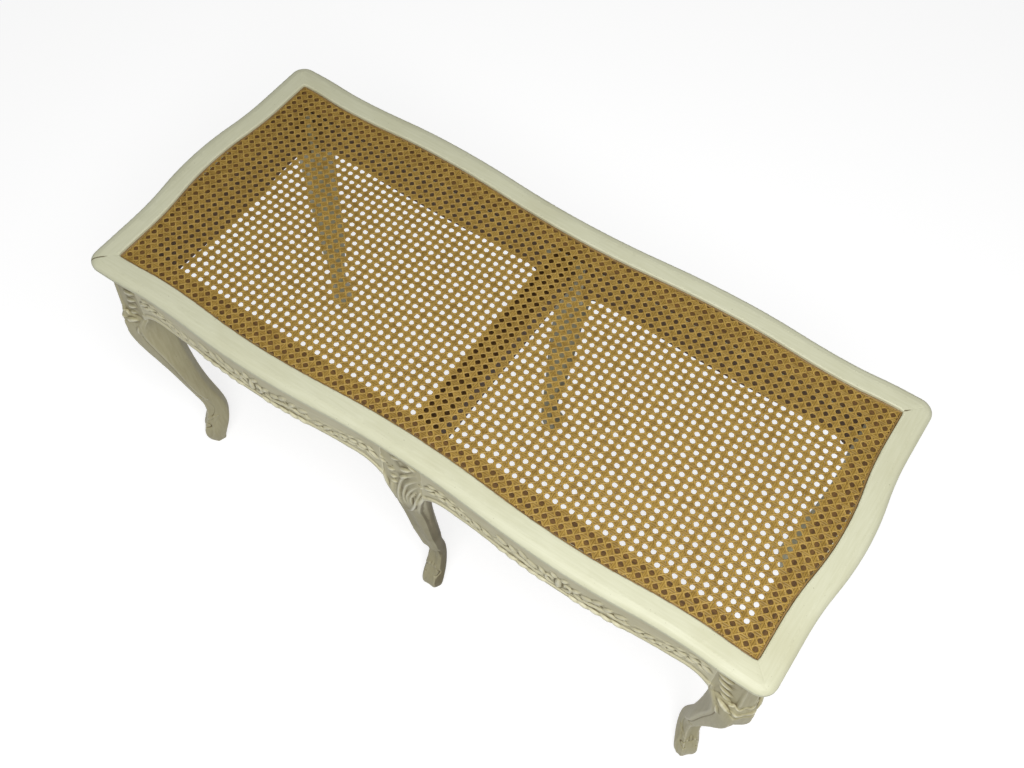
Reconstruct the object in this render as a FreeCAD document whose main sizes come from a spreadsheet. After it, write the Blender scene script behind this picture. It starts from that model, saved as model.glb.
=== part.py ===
import FreeCAD, Part

import math
import os

import Sketcher

Vector = FreeCAD.Vector
Rotation = FreeCAD.Rotation

# Painted bench with a cane seat: six carved cabriole legs, serpentine aprons
# tenoned into the legs, a mitred moulded frame on top, and cane webbing held in
# a groove by four strips of reed.
# Frame: origin on the floor under the middle of the seat, X along the length,
# the front towards -Y, Z up. Millimetres.

SIZES = {
    # seat frame, seen from above
    "seat_height": 500.0,
    "frame_length_ends": 990.0,
    "frame_bow_ends": 10.0,
    "frame_bow_from_corner": 85.0,
    "frame_width_corners": 432.0,
    "frame_crest_from_corner": 260.0,
    "frame_crest_rise": 3.5,
    "frame_dip_from_corner": 110.0,
    "frame_dip_drop": 3.0,
    "frame_level_from_corner": 40.0,
    "frame_waist_drop": 7.0,
    "frame_corner_radius": 20.0,
    "frame_thickness": 19.0,
    "band_width": 31.0,
    "ledge_width": 26.0,
    # moulded edge of the frame
    "nose_drop": 10.5,
    "nose_run": 12.0,
    "nose_belly": 3.0,
    "nose_undercut": 6.0,
    # cane and the reed that holds it
    "cane_recess": 3.5,
    "cane_thickness": 1.5,
    "cane_gap_pitch": 66.6,
    "cane_gap_width": 46.0,
    "cane_gap_corner": 13.5,
    "groove_width": 3.2,
    "groove_depth": 5.0,
    "reed_clearance": 0.1,
    # legs: depths below the top of the seat, places in from the outer corner
    # of the post, and widths across the front, the widest line and the back
    "post_width": 52.0,
    "post_middle_width": 64.0,
    "post_depth": 106.0,
    "post_cut": 11.0,
    "post_swell_front": 5.0,
    "post_swell_face": 20.0,
    "post_chamfer": 3.0,
    "knee_depth": 155.0,
    "knee_front": -1.0,
    "knee_middle": 24.0,
    "knee_face": 28.0,
    "knee_width": 57.0,
    "knee_back_face": 24.0,
    "knee_back": 60.0,
    "calf_depth": 240.0,
    "calf_front": 18.5,
    "calf_back": 61.5,
    "shin_depth": 345.0,
    "shin_front": 46.0,
    "shin_back": 74.5,
    "ankle_depth": 425.0,
    "ankle_front": 50.0,
    "ankle_face": 20.0,
    "ankle_width": 28.0,
    "ankle_back_face": 18.0,
    "ankle_back": 85.0,
    "toe_depth": 468.0,
    "toe_front": 38.0,
    "toe_face": 23.0,
    "toe_width": 36.0,
    "toe_back_face": 22.0,
    "toe_back": 74.0,
    "sole_front": 42.0,
    "sole_face": 16.0,
    "sole_width": 27.0,
    "sole_back_face": 16.0,
    "sole_back": 66.0,
    "leg_hollow": 1.8,
    # the legs at the middle stand flatter
    "middle_knee_middle": 14.0,
    "middle_knee_back": 39.0,
    "middle_calf_front": 12.5,
    "middle_calf_back": 41.0,
    "middle_shin_front": 33.0,
    "middle_shin_back": 54.5,
    "middle_ankle_front": 41.5,
    "middle_ankle_back": 63.0,
    "middle_toe_front": 23.0,
    "middle_toe_back": 54.0,
    "middle_sole_front": 28.0,
    "middle_sole_back": 46.0,
    # aprons and the rail between the middle legs
    "knee_in_at_ends": 11.0,
    "knee_in_at_sides": 13.0,
    "rail_thickness": 45.0,
    "apron_bow": 7.0,
    "apron_depth": 80.0,
    "apron_centre_drop": 6.0,
    "apron_spandrel_run": 34.0,
    "apron_spandrel_drop": 22.0,
    "apron_bead": 6.0,
    "apron_bead_proud": 2.2,
    "centre_rail_width": 32.0,
    "centre_rail_height": 54.0,
    "centre_rail_chamfer": 3.0,
    # joinery
    "tenon_length": 21.0,
    "tenon_thickness": 10.0,
    "tenon_height": 42.0,
    "tenon_shoulder": 9.0,
    "tenon_set_back": 22.0,
    "joint_clearance": 0.2,
    "tongue_thickness": 8.0,
    "tongue_width": 30.0,
    "tongue_in_frame": 8.5,
    "tongue_in_apron": 20.0,
    "tongue_set_back": 33.0,
    "tongue_spacing": 240.0,
    "tongue_spacing_ends": 120.0,
    "key_thickness": 3.0,
    "key_length": 26.0,
    "key_depth": 22.0,
    "key_rise": 3.0,
}

doc = FreeCAD.newDocument("painted_bench")
sheet = doc.addObject("Spreadsheet::Sheet", "sizes")
for row, (alias, number) in enumerate(SIZES.items(), start=1):
    sheet.set("A%d" % row, alias)
    sheet.set("B%d" % row, str(number))
    sheet.setAlias("B%d" % row, alias)
doc.recompute()


class Size:
    """A length with its value and the expression over the sheet that gives it."""

    def __init__(self, text, value):
        self.text = text
        self.value = value

    @staticmethod
    def of(other):
        return other if isinstance(other, Size) else Size("(%r)" % other, other)

    def __add__(self, other):
        other = Size.of(other)
        return Size("(%s + %s)" % (self.text, other.text), self.value + other.value)

    __radd__ = __add__

    def __sub__(self, other):
        other = Size.of(other)
        return Size("(%s - %s)" % (self.text, other.text), self.value - other.value)

    def __rsub__(self, other):
        return Size.of(other) - self

    def __mul__(self, other):
        other = Size.of(other)
        return Size("(%s * %s)" % (self.text, other.text), self.value * other.value)

    __rmul__ = __mul__

    def __truediv__(self, other):
        other = Size.of(other)
        return Size("(%s / %s)" % (self.text, other.text), self.value / other.value)

    def __neg__(self):
        return Size("(-%s)" % self.text, -self.value)

    def root(self):
        return Size("sqrt(%s)" % self.text, math.sqrt(self.value))

    def positive(self):
        return Size("abs(%s)" % self.text, abs(self.value))


class Sheet:
    """Reads each size of the sheet by its name."""

    def __getattr__(self, alias):
        return Size("sizes." + alias, float(sheet.get(alias)))


S = Sheet()
ZERO = Size("0", 0.0)
# the side of a square whose diagonal is one
DIAGONAL = math.sqrt(0.5)
UPRIGHT = Vector(0, 0, 1)


# Sketches


class Bend:
    """The arc that starts at a corner: its radius, and the side it stands out to."""

    def __init__(self, radius, right):
        self.radius = radius
        self.right = right


def bend_by_height(start, end, height, right=True):
    """An arc between two points that stands out from their chord by a height."""
    dx = end[0] - start[0]
    dy = end[1] - start[1]
    if height.value < 0:
        height = -height
        right = not right
    radius = ((dx * dx + dy * dy) / 4 + height * height) / (2 * height)
    return Bend(radius, right)


def bowed(start, end, height, right=True):
    """A corner whose edge to the next point is bowed by a height."""
    if abs(height.value) < 1e-6:
        return start[:2]
    return (start[0], start[1], bend_by_height(start, end, height, right))


def ogee(start, end):
    """The corners of two equal arcs that leave the start and reach the end level."""
    dx = end[0] - start[0]
    dy = end[1] - start[1]
    middle = (start[0] + dx / 2, start[1] + dy / 2)
    if abs(dy.value) < 1e-6:
        return [start[:2], middle]
    radius = (dx * dx + dy * dy) / (4 * dy.positive())
    right = (dy.value > 0) == (dx.value > 0)
    return [(start[0], start[1], Bend(radius, right)), (middle[0], middle[1], Bend(radius, not right))]


def add_edge(drawing, here, there):
    """Draw one edge and give its number and which of its ends comes first."""
    start = Vector(here[0].value, here[1].value, 0)
    end = Vector(there[0].value, there[1].value, 0)
    if len(here) < 3:
        return drawing.addGeometry(Part.LineSegment(start, end), False), 1
    bend = here[2]
    along = end - start
    half = along.Length / 2
    across = Vector(-along.y, along.x, 0).normalize()
    if not bend.right:
        across = across * -1
    reach = math.sqrt(max(bend.radius.value ** 2 - half ** 2, 0.0))
    centre = (start + end) * 0.5 + across * reach
    first, last = (start, end) if bend.right else (end, start)
    begin = math.atan2(first.y - centre.y, first.x - centre.x)
    finish = math.atan2(last.y - centre.y, last.x - centre.x)
    if finish < begin:
        finish += 2 * math.pi
    circle = Part.Circle(centre, UPRIGHT, bend.radius.value)
    edge = drawing.addGeometry(Part.ArcOfCircle(circle, begin, finish), False)
    return edge, 1 if bend.right else 2


def pin(drawing, edge, end, x, y):
    """Hold one end of an edge at x, y from the origin of the sketch."""
    for kind, axis, size in (("DistanceX", -2, x), ("DistanceY", -1, y)):
        if size is ZERO:
            drawing.addConstraint(Sketcher.Constraint("PointOnObject", edge, end, axis))
            continue
        mark = drawing.addConstraint(Sketcher.Constraint(kind, -1, 1, edge, end, size.value))
        drawing.setExpression("Constraints[%d]" % mark, size.text)


def draw(drawing, corners, closed=True):
    """Draw an outline through its corners, each (x, y) or (x, y, Bend)."""
    count = len(corners) if closed else len(corners) - 1
    edges = [add_edge(drawing, corners[i], corners[(i + 1) % len(corners)]) for i in range(count)]
    for i, (edge, first) in enumerate(edges):
        corner = corners[i]
        pin(drawing, edge, first, corner[0], corner[1])
        last = 3 - first
        if closed or i < count - 1:
            after, joined = edges[(i + 1) % count]
            drawing.addConstraint(Sketcher.Constraint("Coincident", edge, last, after, joined))
        else:
            pin(drawing, edge, last, corners[-1][0], corners[-1][1])
        if len(corner) == 3:
            mark = drawing.addConstraint(Sketcher.Constraint("Radius", edge, corner[2].radius.value))
            drawing.setExpression("Constraints[%d]" % mark, corner[2].radius.text)
    return drawing


def level_sketch(owner, name, height, corners, closed=True):
    """An outline seen from above, in its owner's plane at a height."""
    drawing = owner.newObject("Sketcher::SketchObject", name)
    plane = [part for part in owner.Origin.OriginFeatures if part.Role == "XY_Plane"][0]
    drawing.AttachmentSupport = [(plane, "")]
    drawing.MapMode = "FlatFace"
    if height is not ZERO:
        drawing.AttachmentOffset = FreeCAD.Placement(Vector(0, 0, height.value), Rotation())
        drawing.setExpression(".AttachmentOffset.Base.z", height.text)
    return draw(drawing, corners, closed)


def upright_sketch(owner, name, behind, corners):
    """An outline seen from the front, in the plane y = -behind of its owner."""
    drawing = owner.newObject("Sketcher::SketchObject", name)
    plane = [part for part in owner.Origin.OriginFeatures if part.Role == "XZ_Plane"][0]
    drawing.AttachmentSupport = [(plane, "")]
    drawing.MapMode = "FlatFace"
    if behind is not ZERO:
        drawing.AttachmentOffset = FreeCAD.Placement(Vector(0, 0, behind.value), Rotation())
        drawing.setExpression(".AttachmentOffset.Base.z", behind.text)
    return draw(drawing, corners)


# Bodies and solids


def place(thing, turn, x=ZERO, y=ZERO, z=ZERO):
    """Set an object's place, bound to the sheet, and its turn about the upright axis."""
    thing.Placement = FreeCAD.Placement(Vector(x.value, y.value, z.value), Rotation(UPRIGHT, turn))
    for axis, size in (("x", x), ("y", y), ("z", z)):
        if size is not ZERO:
            thing.setExpression(".Placement.Base." + axis, size.text)


def body_at(label, turn, x=ZERO, y=ZERO, z=ZERO):
    """A body turned about the upright axis and set at a place."""
    body = doc.addObject("PartDesign::Body", label)
    place(body, turn, x, y, z)
    return body


def pad(body, name, drawing, height):
    feature = body.newObject("PartDesign::Pad", name)
    feature.Profile = drawing
    feature.setExpression("Length", height.text)


def pocket(body, name, drawing, depth):
    feature = body.newObject("PartDesign::Pocket", name)
    feature.Profile = drawing
    feature.setExpression("Length", depth.text)


def loft(body, name, sections, ruled=False):
    feature = body.newObject("PartDesign::AdditiveLoft", name)
    feature.Profile = sections[0]
    feature.Sections = sections[1:]
    feature.Ruled = ruled


def box(name, turn, corner, size):
    """A box with its sizes bound to the sheet, turned about its lowest corner."""
    solid = doc.addObject("Part::Box", name)
    for side, length in zip(("Length", "Width", "Height"), size):
        solid.setExpression(side, length.text)
    place(solid, turn, *corner)
    return solid


def together(name, solids):
    """Several loose pieces of one kind as one sub-part."""
    whole = doc.addObject("Part::MultiFuse", name)
    whole.Shapes = solids
    return whole


# Sizes that several pieces share

half_length = S.frame_length_ends / 2
half_width = S.frame_width_corners / 2
frame_under = S.seat_height - S.frame_thickness
ledge_drop = S.cane_recess + S.cane_thickness
ledge_top = S.seat_height - ledge_drop
clearance = S.joint_clearance
knee_x = half_length - S.knee_in_at_ends
knee_y = half_width - S.knee_in_at_sides
post_half = S.post_middle_width / 2
bay_outer = knee_x - S.post_width
bay_middle = (post_half + bay_outer) / 2
bay_half = (bay_outer - post_half) / 2
end_half = knee_y - S.post_width

# places along a side of the frame and how far out its edge stands there,
# from the middle of the side to its end
LONG_SIDE = [
    (ZERO, half_width - S.frame_waist_drop),
    (half_length - S.frame_crest_from_corner, half_width + S.frame_crest_rise),
    (half_length - S.frame_dip_from_corner, half_width - S.frame_dip_drop),
    (half_length - S.frame_level_from_corner, half_width),
]
SHORT_SIDE = [
    (ZERO, half_length + S.frame_bow_ends),
    (half_width - S.frame_bow_from_corner, half_length),
]

# where the loose tongues stand along a bay, an end and a long side of the frame
BAY_TONGUES = [hand * S.tongue_spacing / 2 for hand in (-1, 1)]
END_TONGUES = [hand * S.tongue_spacing_ends / 2 for hand in (-1, 1)]
LONG_TONGUES = [hand * bay_middle + along for hand in (-1, 1) for along in BAY_TONGUES]


def wave(side, inset, reach, backwards=False):
    """The corners of a side's edge, drawn in by an inset, from one reach to the
    other. The last point is left to the caller."""
    ends = side[-1][1]
    right = [(along, inset - out) for along, out in side[1:]] + [(reach, inset - ends)]
    left = [(-along, y) for along, y in reversed(right)]
    points = left + [(ZERO, inset - side[0][1])] + right
    if backwards:
        points.reverse()
    corners = []
    for here, there in zip(points[:-1], points[1:]):
        if here[1].text == there[1].text:
            corners.append(here)
        else:
            corners += ogee(here, there)
    return corners


# Seat frame


def top_rail(label, turn, side, half_run, tongues, knee_out):
    """One moulded side of the seat frame, mitred at both ends, seen as the front."""
    body = body_at(label, turn, z=frame_under)
    ends = side[-1][1]
    top = S.frame_thickness
    round_place = half_run - S.frame_corner_radius
    round_out = ends - S.frame_corner_radius
    rounded = Bend(S.frame_corner_radius, True)
    mitre_x = round_place + S.frame_corner_radius * DIAGONAL
    mitre_y = -(round_out + S.frame_corner_radius * DIAGONAL)
    ledge_x = half_run - S.band_width - S.ledge_width
    ledge_y = S.band_width + S.ledge_width - ends
    outline = [(-mitre_x, mitre_y, rounded)] + wave(side, ZERO, round_place)
    outline += [(round_place, -ends, rounded), (mitre_x, mitre_y), (ledge_x, ledge_y), (-ledge_x, ledge_y)]
    pad(body, label + "_board", level_sketch(body, label + "_plan", ZERO, outline), top)
    mould_edge(body, label, side, half_run, round_place, round_out, rounded)

    overrun = half_run - S.band_width + S.groove_width
    ledge_inner = ledge_y + S.groove_width
    ledge = wave(side, S.band_width, overrun)
    ledge += [(overrun, S.band_width - ends), (overrun, ledge_inner), (-overrun, ledge_inner)]
    pocket(body, label + "_ledge", level_sketch(body, label + "_ledge_plan", top, ledge), ledge_drop)
    groove = wave(side, S.band_width, overrun)
    groove += [(overrun, S.band_width - ends)]
    groove += wave(side, S.band_width + S.groove_width, overrun, backwards=True)
    groove += [(-overrun, S.band_width + S.groove_width - ends)]
    plan = level_sketch(body, label + "_groove_plan", top, groove)
    pocket(body, label + "_groove", plan, ledge_drop + S.groove_depth)

    for hand, name in ((1, "_right"), (-1, "_left")):
        slot = key_outline(half_run, ends, hand)
        height = S.key_rise + S.key_thickness + clearance
        plan = level_sketch(body, label + "_key_plan" + name, height, slot)
        pocket(body, label + "_key_slot" + name, plan, S.key_thickness + clearance)
    tongue_slots(body, label, S.tongue_in_frame + clearance, tongues, S.tongue_set_back - knee_out,
                 S.tongue_in_frame + 2 * clearance)
    return body


def tongue_slots(body, label, height, tongues, across, depth):
    """Cut a row of slots for the loose tongues, from a height down by a depth."""
    half_run = S.tongue_width / 2 + clearance
    half = S.tongue_thickness / 2 + clearance
    for number, along in enumerate(tongues, start=1):
        corners = [(along - half_run, across - half), (along + half_run, across - half),
                   (along + half_run, across + half), (along - half_run, across + half)]
        plan = level_sketch(body, "%s_tongue_plan_%d" % (label, number), height, corners)
        pocket(body, "%s_tongue_slot_%d" % (label, number), plan, depth)


def mould_edge(body, label, side, half_run, round_place, round_out, rounded):
    """Carry a cutter of the edge's section along the outer edge of a side."""
    top = S.frame_thickness
    path = [(-half_run, -round_out, rounded)] + wave(side, ZERO, round_place)
    path += [(round_place, -side[-1][1], rounded), (half_run, -round_out)]
    line = level_sketch(body, label + "_edge_line", top, path, closed=False)
    spare = S.nose_belly
    shoulder = (S.nose_run - half_run, top)
    nose = (-half_run, top - S.nose_drop)
    under = (S.nose_undercut - half_run, ZERO)
    section = [
        (shoulder[0], top + spare),
        bowed(shoulder, nose, S.nose_belly),
        nose,
        under,
        (under[0], -spare),
        (-half_run - spare, -spare),
        (-half_run - spare, top + spare),
    ]
    cutter = upright_sketch(body, label + "_edge_section", round_out, section)
    moulding = body.newObject("PartDesign::SubtractivePipe", label + "_moulding")
    moulding.Profile = cutter
    moulding.Spine = (line, ["Edge%d" % (i + 1) for i in range(len(path) - 1)])


def key_middle(half_run, ends):
    """The middle of the mitre at the right end of a side seen as the front."""
    inset = (S.band_width + S.ledge_width) / 2
    return half_run - inset, inset - ends


def key_outline(half_run, ends, hand):
    """The slot for a feather key across the mitre at one end of a side."""
    x, y = key_middle(half_run, ends)
    along = (S.key_length / 2 + clearance) * DIAGONAL
    across = (S.key_depth / 2 + clearance) * DIAGONAL
    corners = [
        (x + along - across, y - along - across),
        (x + along + across, y - along + across),
        (x - along + across, y + along + across),
        (x - along - across, y + along - across),
    ]
    if hand > 0:
        return corners
    return [(-x, y) for x, y in reversed(corners)]


def mitre_keys():
    """The four feather keys hidden in the mitres of the seat frame."""
    x, y = key_middle(half_length, half_width)
    half_across = S.key_depth / 2 * DIAGONAL
    half_along = S.key_length / 2 * DIAGONAL
    keys = []
    for hand, face in ((1, 1), (-1, 1), (1, -1), (-1, -1)):
        turn = 45 * hand * face
        lean = hand * face
        corner_x = hand * x - half_across + lean * half_along
        corner_y = face * y - lean * half_across - half_along
        low = frame_under + S.key_rise
        name = "mitre_key_%d" % (len(keys) + 1)
        size = (S.key_depth, S.key_length, S.key_thickness)
        keys.append(box(name, turn, (corner_x, corner_y, low), size))
    return together("mitre_keys", keys)


def frame_tongues():
    """The loose tongues that join the seat frame to the aprons."""
    half_run = S.tongue_width / 2
    half = S.tongue_thickness / 2
    low = frame_under - S.tongue_in_apron
    height = S.tongue_in_apron + S.tongue_in_frame
    tongues = []
    for face in (-1, 1):
        y = face * (knee_y - S.tongue_set_back)
        for along in LONG_TONGUES:
            name = "tongue_%d" % (len(tongues) + 1)
            size = (S.tongue_width, S.tongue_thickness, height)
            tongues.append(box(name, 0, (along - half_run, y - half, low), size))
        x = face * (knee_x - S.tongue_set_back)
        for along in END_TONGUES:
            name = "tongue_%d" % (len(tongues) + 1)
            size = (S.tongue_thickness, S.tongue_width, height)
            tongues.append(box(name, 0, (x - half, along - half_run, low), size))
    return together("frame_tongues", tongues)


# Cane seat


def seat_reed(label, turn, side, half_run):
    """The strip of reed pressed into the groove along one side, mitred at its ends."""
    outer = S.band_width + S.reed_clearance
    inner = S.band_width + S.groove_width - S.reed_clearance
    ends = side[-1][1]
    outline = wave(side, outer, half_run - outer) + [(half_run - outer, outer - ends)]
    outline += wave(side, inner, half_run - inner, backwards=True) + [(inner - half_run, inner - ends)]
    body = body_at(label, turn, z=ledge_top - S.groove_depth)
    plan = level_sketch(body, label + "_plan", ZERO, outline)
    pad(body, label + "_strip", plan, S.groove_depth + S.cane_thickness)
    return body


def edge_of(here, there):
    """A straight or bowed edge between two corners, as a shape."""
    start = Vector(here[0].value, here[1].value, 0)
    end = Vector(there[0].value, there[1].value, 0)
    if len(here) < 3:
        return Part.makeLine(start, end)
    radius = here[2].radius.value
    chord = end - start
    height = radius - math.sqrt(radius ** 2 - (chord.Length / 2) ** 2)
    out = Vector(chord.y, -chord.x, 0).normalize() * (height if here[2].right else -height)
    return Part.Arc(start, (start + end) * 0.5 + out, end).toShape()


def outline_of(corners):
    """A closed wire through corners, at height nought."""
    return Part.Wire([edge_of(here, there) for here, there in zip(corners, corners[1:] + corners[:1])])


def turned_quarter(corners, quarters):
    """Corners turned by quarter turns about the middle."""
    for _ in range(quarters):
        corners = [(-corner[1], corner[0]) + tuple(corner[2:]) for corner in corners]
    return corners


def gap_count(half_run):
    """How many gaps of the cane fit between two opposite edges of the seat."""
    return math.floor(2 * half_run.value / S.cane_gap_pitch.value)


def cane_panel():
    """The sheet of cane webbing: one flat face with its rows of gaps."""
    inset = S.band_width + S.groove_width
    corners = []
    for quarters in range(4):
        side, half_run = ((LONG_SIDE, half_length), (SHORT_SIDE, half_width))[quarters % 2]
        corners += turned_quarter(wave(side, inset, half_run - inset), quarters)
    half = S.cane_gap_width.value / 2
    cut_corner = half - S.cane_gap_corner.value
    pitch = S.cane_gap_pitch.value
    columns = gap_count(half_length - inset)
    rows = gap_count(half_width - S.frame_waist_drop - inset)
    gap = [(half, -cut_corner), (half, cut_corner), (cut_corner, half), (-cut_corner, half),
           (-half, cut_corner), (-half, -cut_corner), (-cut_corner, -half), (cut_corner, -half)]
    first_x = -(columns - 1) * pitch / 2
    first_y = -(rows - 1) * pitch / 2
    wires = [outline_of(corners)]
    for column in range(columns):
        for row in range(rows):
            middle = Vector(first_x + column * pitch, first_y + row * pitch, 0)
            points = [middle + Vector(x, y, 0) for x, y in gap]
            wires.append(Part.makePolygon(points + points[:1]))
    panel = doc.addObject("Part::Feature", "cane_panel")
    panel.Shape = Part.Face(wires, "Part::FaceMakerBullseye").extrude(Vector(0, 0, S.cane_thickness.value))
    place(panel, 0, z=ledge_top)
    return panel


# Legs


class Section:
    """A leg seen from above at one depth: places in from the outer corner of its
    front, widest line and back, and the width of the leg at each."""

    def __init__(self, depth, places, widths, hollow=ZERO):
        self.depth = depth
        self.places = places
        self.widths = widths
        self.hollow = hollow

    def tapered(self, other, depth, places):
        """A section between this one and another, as wide as a straight taper makes it."""
        share = (depth - self.depth) / (other.depth - self.depth)
        widths = [a + (b - a) * share for a, b in zip(self.widths, other.widths)]
        return Section(depth, places, widths, self.hollow)

    def outline(self):
        front, middle, back = self.places
        front_half, middle_half, back_half = [width / 2 for width in self.widths]
        right = [(front_half, front), (middle_half, middle), (back_half, back)]
        return [(ZERO, front + self.hollow)] + right + [(-x, y) for x, y in reversed(right)]

    def sketch(self, body, name):
        return level_sketch(body, name, S.seat_height - self.depth, self.outline())


def centred(front, back):
    """The places of a section whose widest line is midway between front and back."""
    return front, (front + back) / 2, back


def shank_sections(knee_places, calf_places, shin_places, ankle_places, toe_places, sole_places):
    """The sections of a leg from its knee down to its sole."""
    hollow = S.leg_hollow
    knee = Section(S.knee_depth, knee_places, (S.knee_face, S.knee_width, S.knee_back_face), hollow)
    ankle = Section(S.ankle_depth, ankle_places, (S.ankle_face, S.ankle_width, S.ankle_back_face), hollow)
    toe = Section(S.toe_depth, toe_places, (S.toe_face, S.toe_width, S.toe_back_face), hollow)
    sole = Section(S.seat_height, sole_places, (S.sole_face, S.sole_width, S.sole_back_face), hollow)
    calf = knee.tapered(ankle, S.calf_depth, calf_places)
    shin = knee.tapered(ankle, S.shin_depth, shin_places)
    return [knee, calf, shin, ankle, toe, sole]


def shank(body, label, post, sections):
    """The curved part of a leg, from the foot of its post down."""
    drawings = [post.sketch(body, label + "_post_foot")]
    for number, section in enumerate(sections, start=1):
        drawings.append(section.sketch(body, "%s_section_%d" % (label, number)))
    loft(body, label + "_shank", drawings)


def corner_leg(label, turn, hand, face):
    """A cabriole leg on the diagonal of its corner, with both aprons' mortises."""
    body = body_at(label, turn, hand * knee_x, face * knee_y)
    cut = S.post_cut
    side = S.post_width * DIAGONAL
    back = 2 * side - S.post_chamfer
    widths = (2 * cut, 2 * side, 2 * S.post_chamfer)
    top = Section(S.frame_thickness, (cut, side, back), widths)
    foot = Section(S.post_depth, (cut, side, back), widths)
    pad(body, label + "_post", foot.sketch(body, label + "_post_plan"), S.post_depth - S.frame_thickness)
    swell_widths = (S.post_swell_face, 2 * side, 2 * S.post_chamfer)
    swollen = Section(S.post_depth, (S.post_swell_front, side, back), swell_widths)
    ridge = []
    for name, section in (("_ridge_top", top), ("_ridge_foot", swollen)):
        front = section.places[0]
        front_half = section.widths[0] / 2
        corners = [(-front_half, front), (front_half, front), (cut, 2 * cut), (-cut, 2 * cut)]
        ridge.append(level_sketch(body, label + name, S.seat_height - section.depth, corners))
    loft(body, label + "_ridge", ridge, ruled=True)
    sections = shank_sections(
        (S.knee_front, S.knee_middle, S.knee_back),
        centred(S.calf_front, S.calf_back),
        centred(S.shin_front, S.shin_back),
        centred(S.ankle_front, S.ankle_back),
        centred(S.toe_front, S.toe_back),
        centred(S.sole_front, S.sole_back),
    )
    shank(body, label, swollen, sections)
    inner = S.post_width - S.tenon_length - clearance
    outer = S.post_width + clearance
    for name, mirror in (("_mortise_right", 1), ("_mortise_left", -1)):
        low, high = mortise_sides()
        corners = [(inner, low), (outer, low), (outer, high), (inner, high)]
        corners = [(mirror * (x - y) * DIAGONAL, (x + y) * DIAGONAL) for x, y in corners]
        mortise(body, label + name, corners if mirror > 0 else corners[::-1])
    return body


def middle_leg(label, turn, face):
    """A cabriole leg at the middle of a long side, with three mortises."""
    body = body_at(label, turn, y=face * knee_y)
    flat = S.post_middle_width - 2 * S.post_chamfer
    places = (ZERO, S.post_chamfer, S.rail_thickness)
    foot = Section(S.post_depth, places, (flat, S.post_middle_width, S.post_middle_width))
    pad(body, label + "_post", foot.sketch(body, label + "_post_plan"), S.post_depth - S.frame_thickness)
    sections = shank_sections(
        (S.knee_front, S.middle_knee_middle, S.middle_knee_back),
        centred(S.middle_calf_front, S.middle_calf_back),
        centred(S.middle_shin_front, S.middle_shin_back),
        centred(S.middle_ankle_front, S.middle_ankle_back),
        centred(S.middle_toe_front, S.middle_toe_back),
        centred(S.middle_sole_front, S.middle_sole_back),
    )
    shank(body, label, foot, sections)
    inner = post_half - S.tenon_length - clearance
    outer = post_half + clearance
    low, high = mortise_sides()
    mortise(body, label + "_mortise_right", [(inner, low), (outer, low), (outer, high), (inner, high)])
    mortise(body, label + "_mortise_left", [(-outer, low), (-inner, low), (-inner, high), (-outer, high)])
    half = S.tenon_thickness / 2 + clearance
    near = S.rail_thickness - S.tenon_length - clearance
    far = S.rail_thickness + clearance
    mortise(body, label + "_mortise_back", [(-half, near), (half, near), (half, far), (-half, far)])
    return body


def mortise_sides():
    """How far in from the outer face the two cheeks of an apron's mortise are."""
    half = S.tenon_thickness / 2 + clearance
    return S.tenon_set_back - half, S.tenon_set_back + half


def mortise(body, name, corners):
    """Cut a mortise the tenon stands in, with room above it."""
    plan = level_sketch(body, name + "_plan", frame_under - S.tenon_shoulder + clearance, corners)
    pocket(body, name, plan, S.tenon_height + clearance)


# Aprons and the rail under the cane


def apron_face(half_run, proud):
    """The bowed outer face of an apron, seen from above, without its last corner."""
    crown = (ZERO, -S.apron_bow - proud)
    return ogee((-half_run, -proud), crown) + ogee(crown, (half_run, -proud))


def apron_plan(half_run, proud):
    corners = apron_face(half_run, proud)
    return corners + [(half_run, -proud), (half_run, S.rail_thickness), (-half_run, S.rail_thickness)]


def apron_line(half_run, width):
    """The serpentine lower edge of an apron seen from the front, raised square to
    itself by a width, without its last corner."""
    edge = S.apron_depth - S.frame_thickness
    run = S.apron_spandrel_run
    drop = S.apron_spandrel_drop
    radius = (run * run + drop * drop) / (2 * drop)
    raised = radius + width
    end_z = (raised * raised - run * run).root() - edge - radius
    spandrel = Bend(raised, False)
    shoulder = half_run - run
    crown = (ZERO, width - edge - S.apron_centre_drop)
    left = (-shoulder, width - edge)
    right = (shoulder, width - edge)
    corners = [(-half_run, end_z, spandrel)] + ogee(left, crown) + ogee(crown, right)
    return corners + [(shoulder, width - edge, spandrel)], end_z


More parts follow.
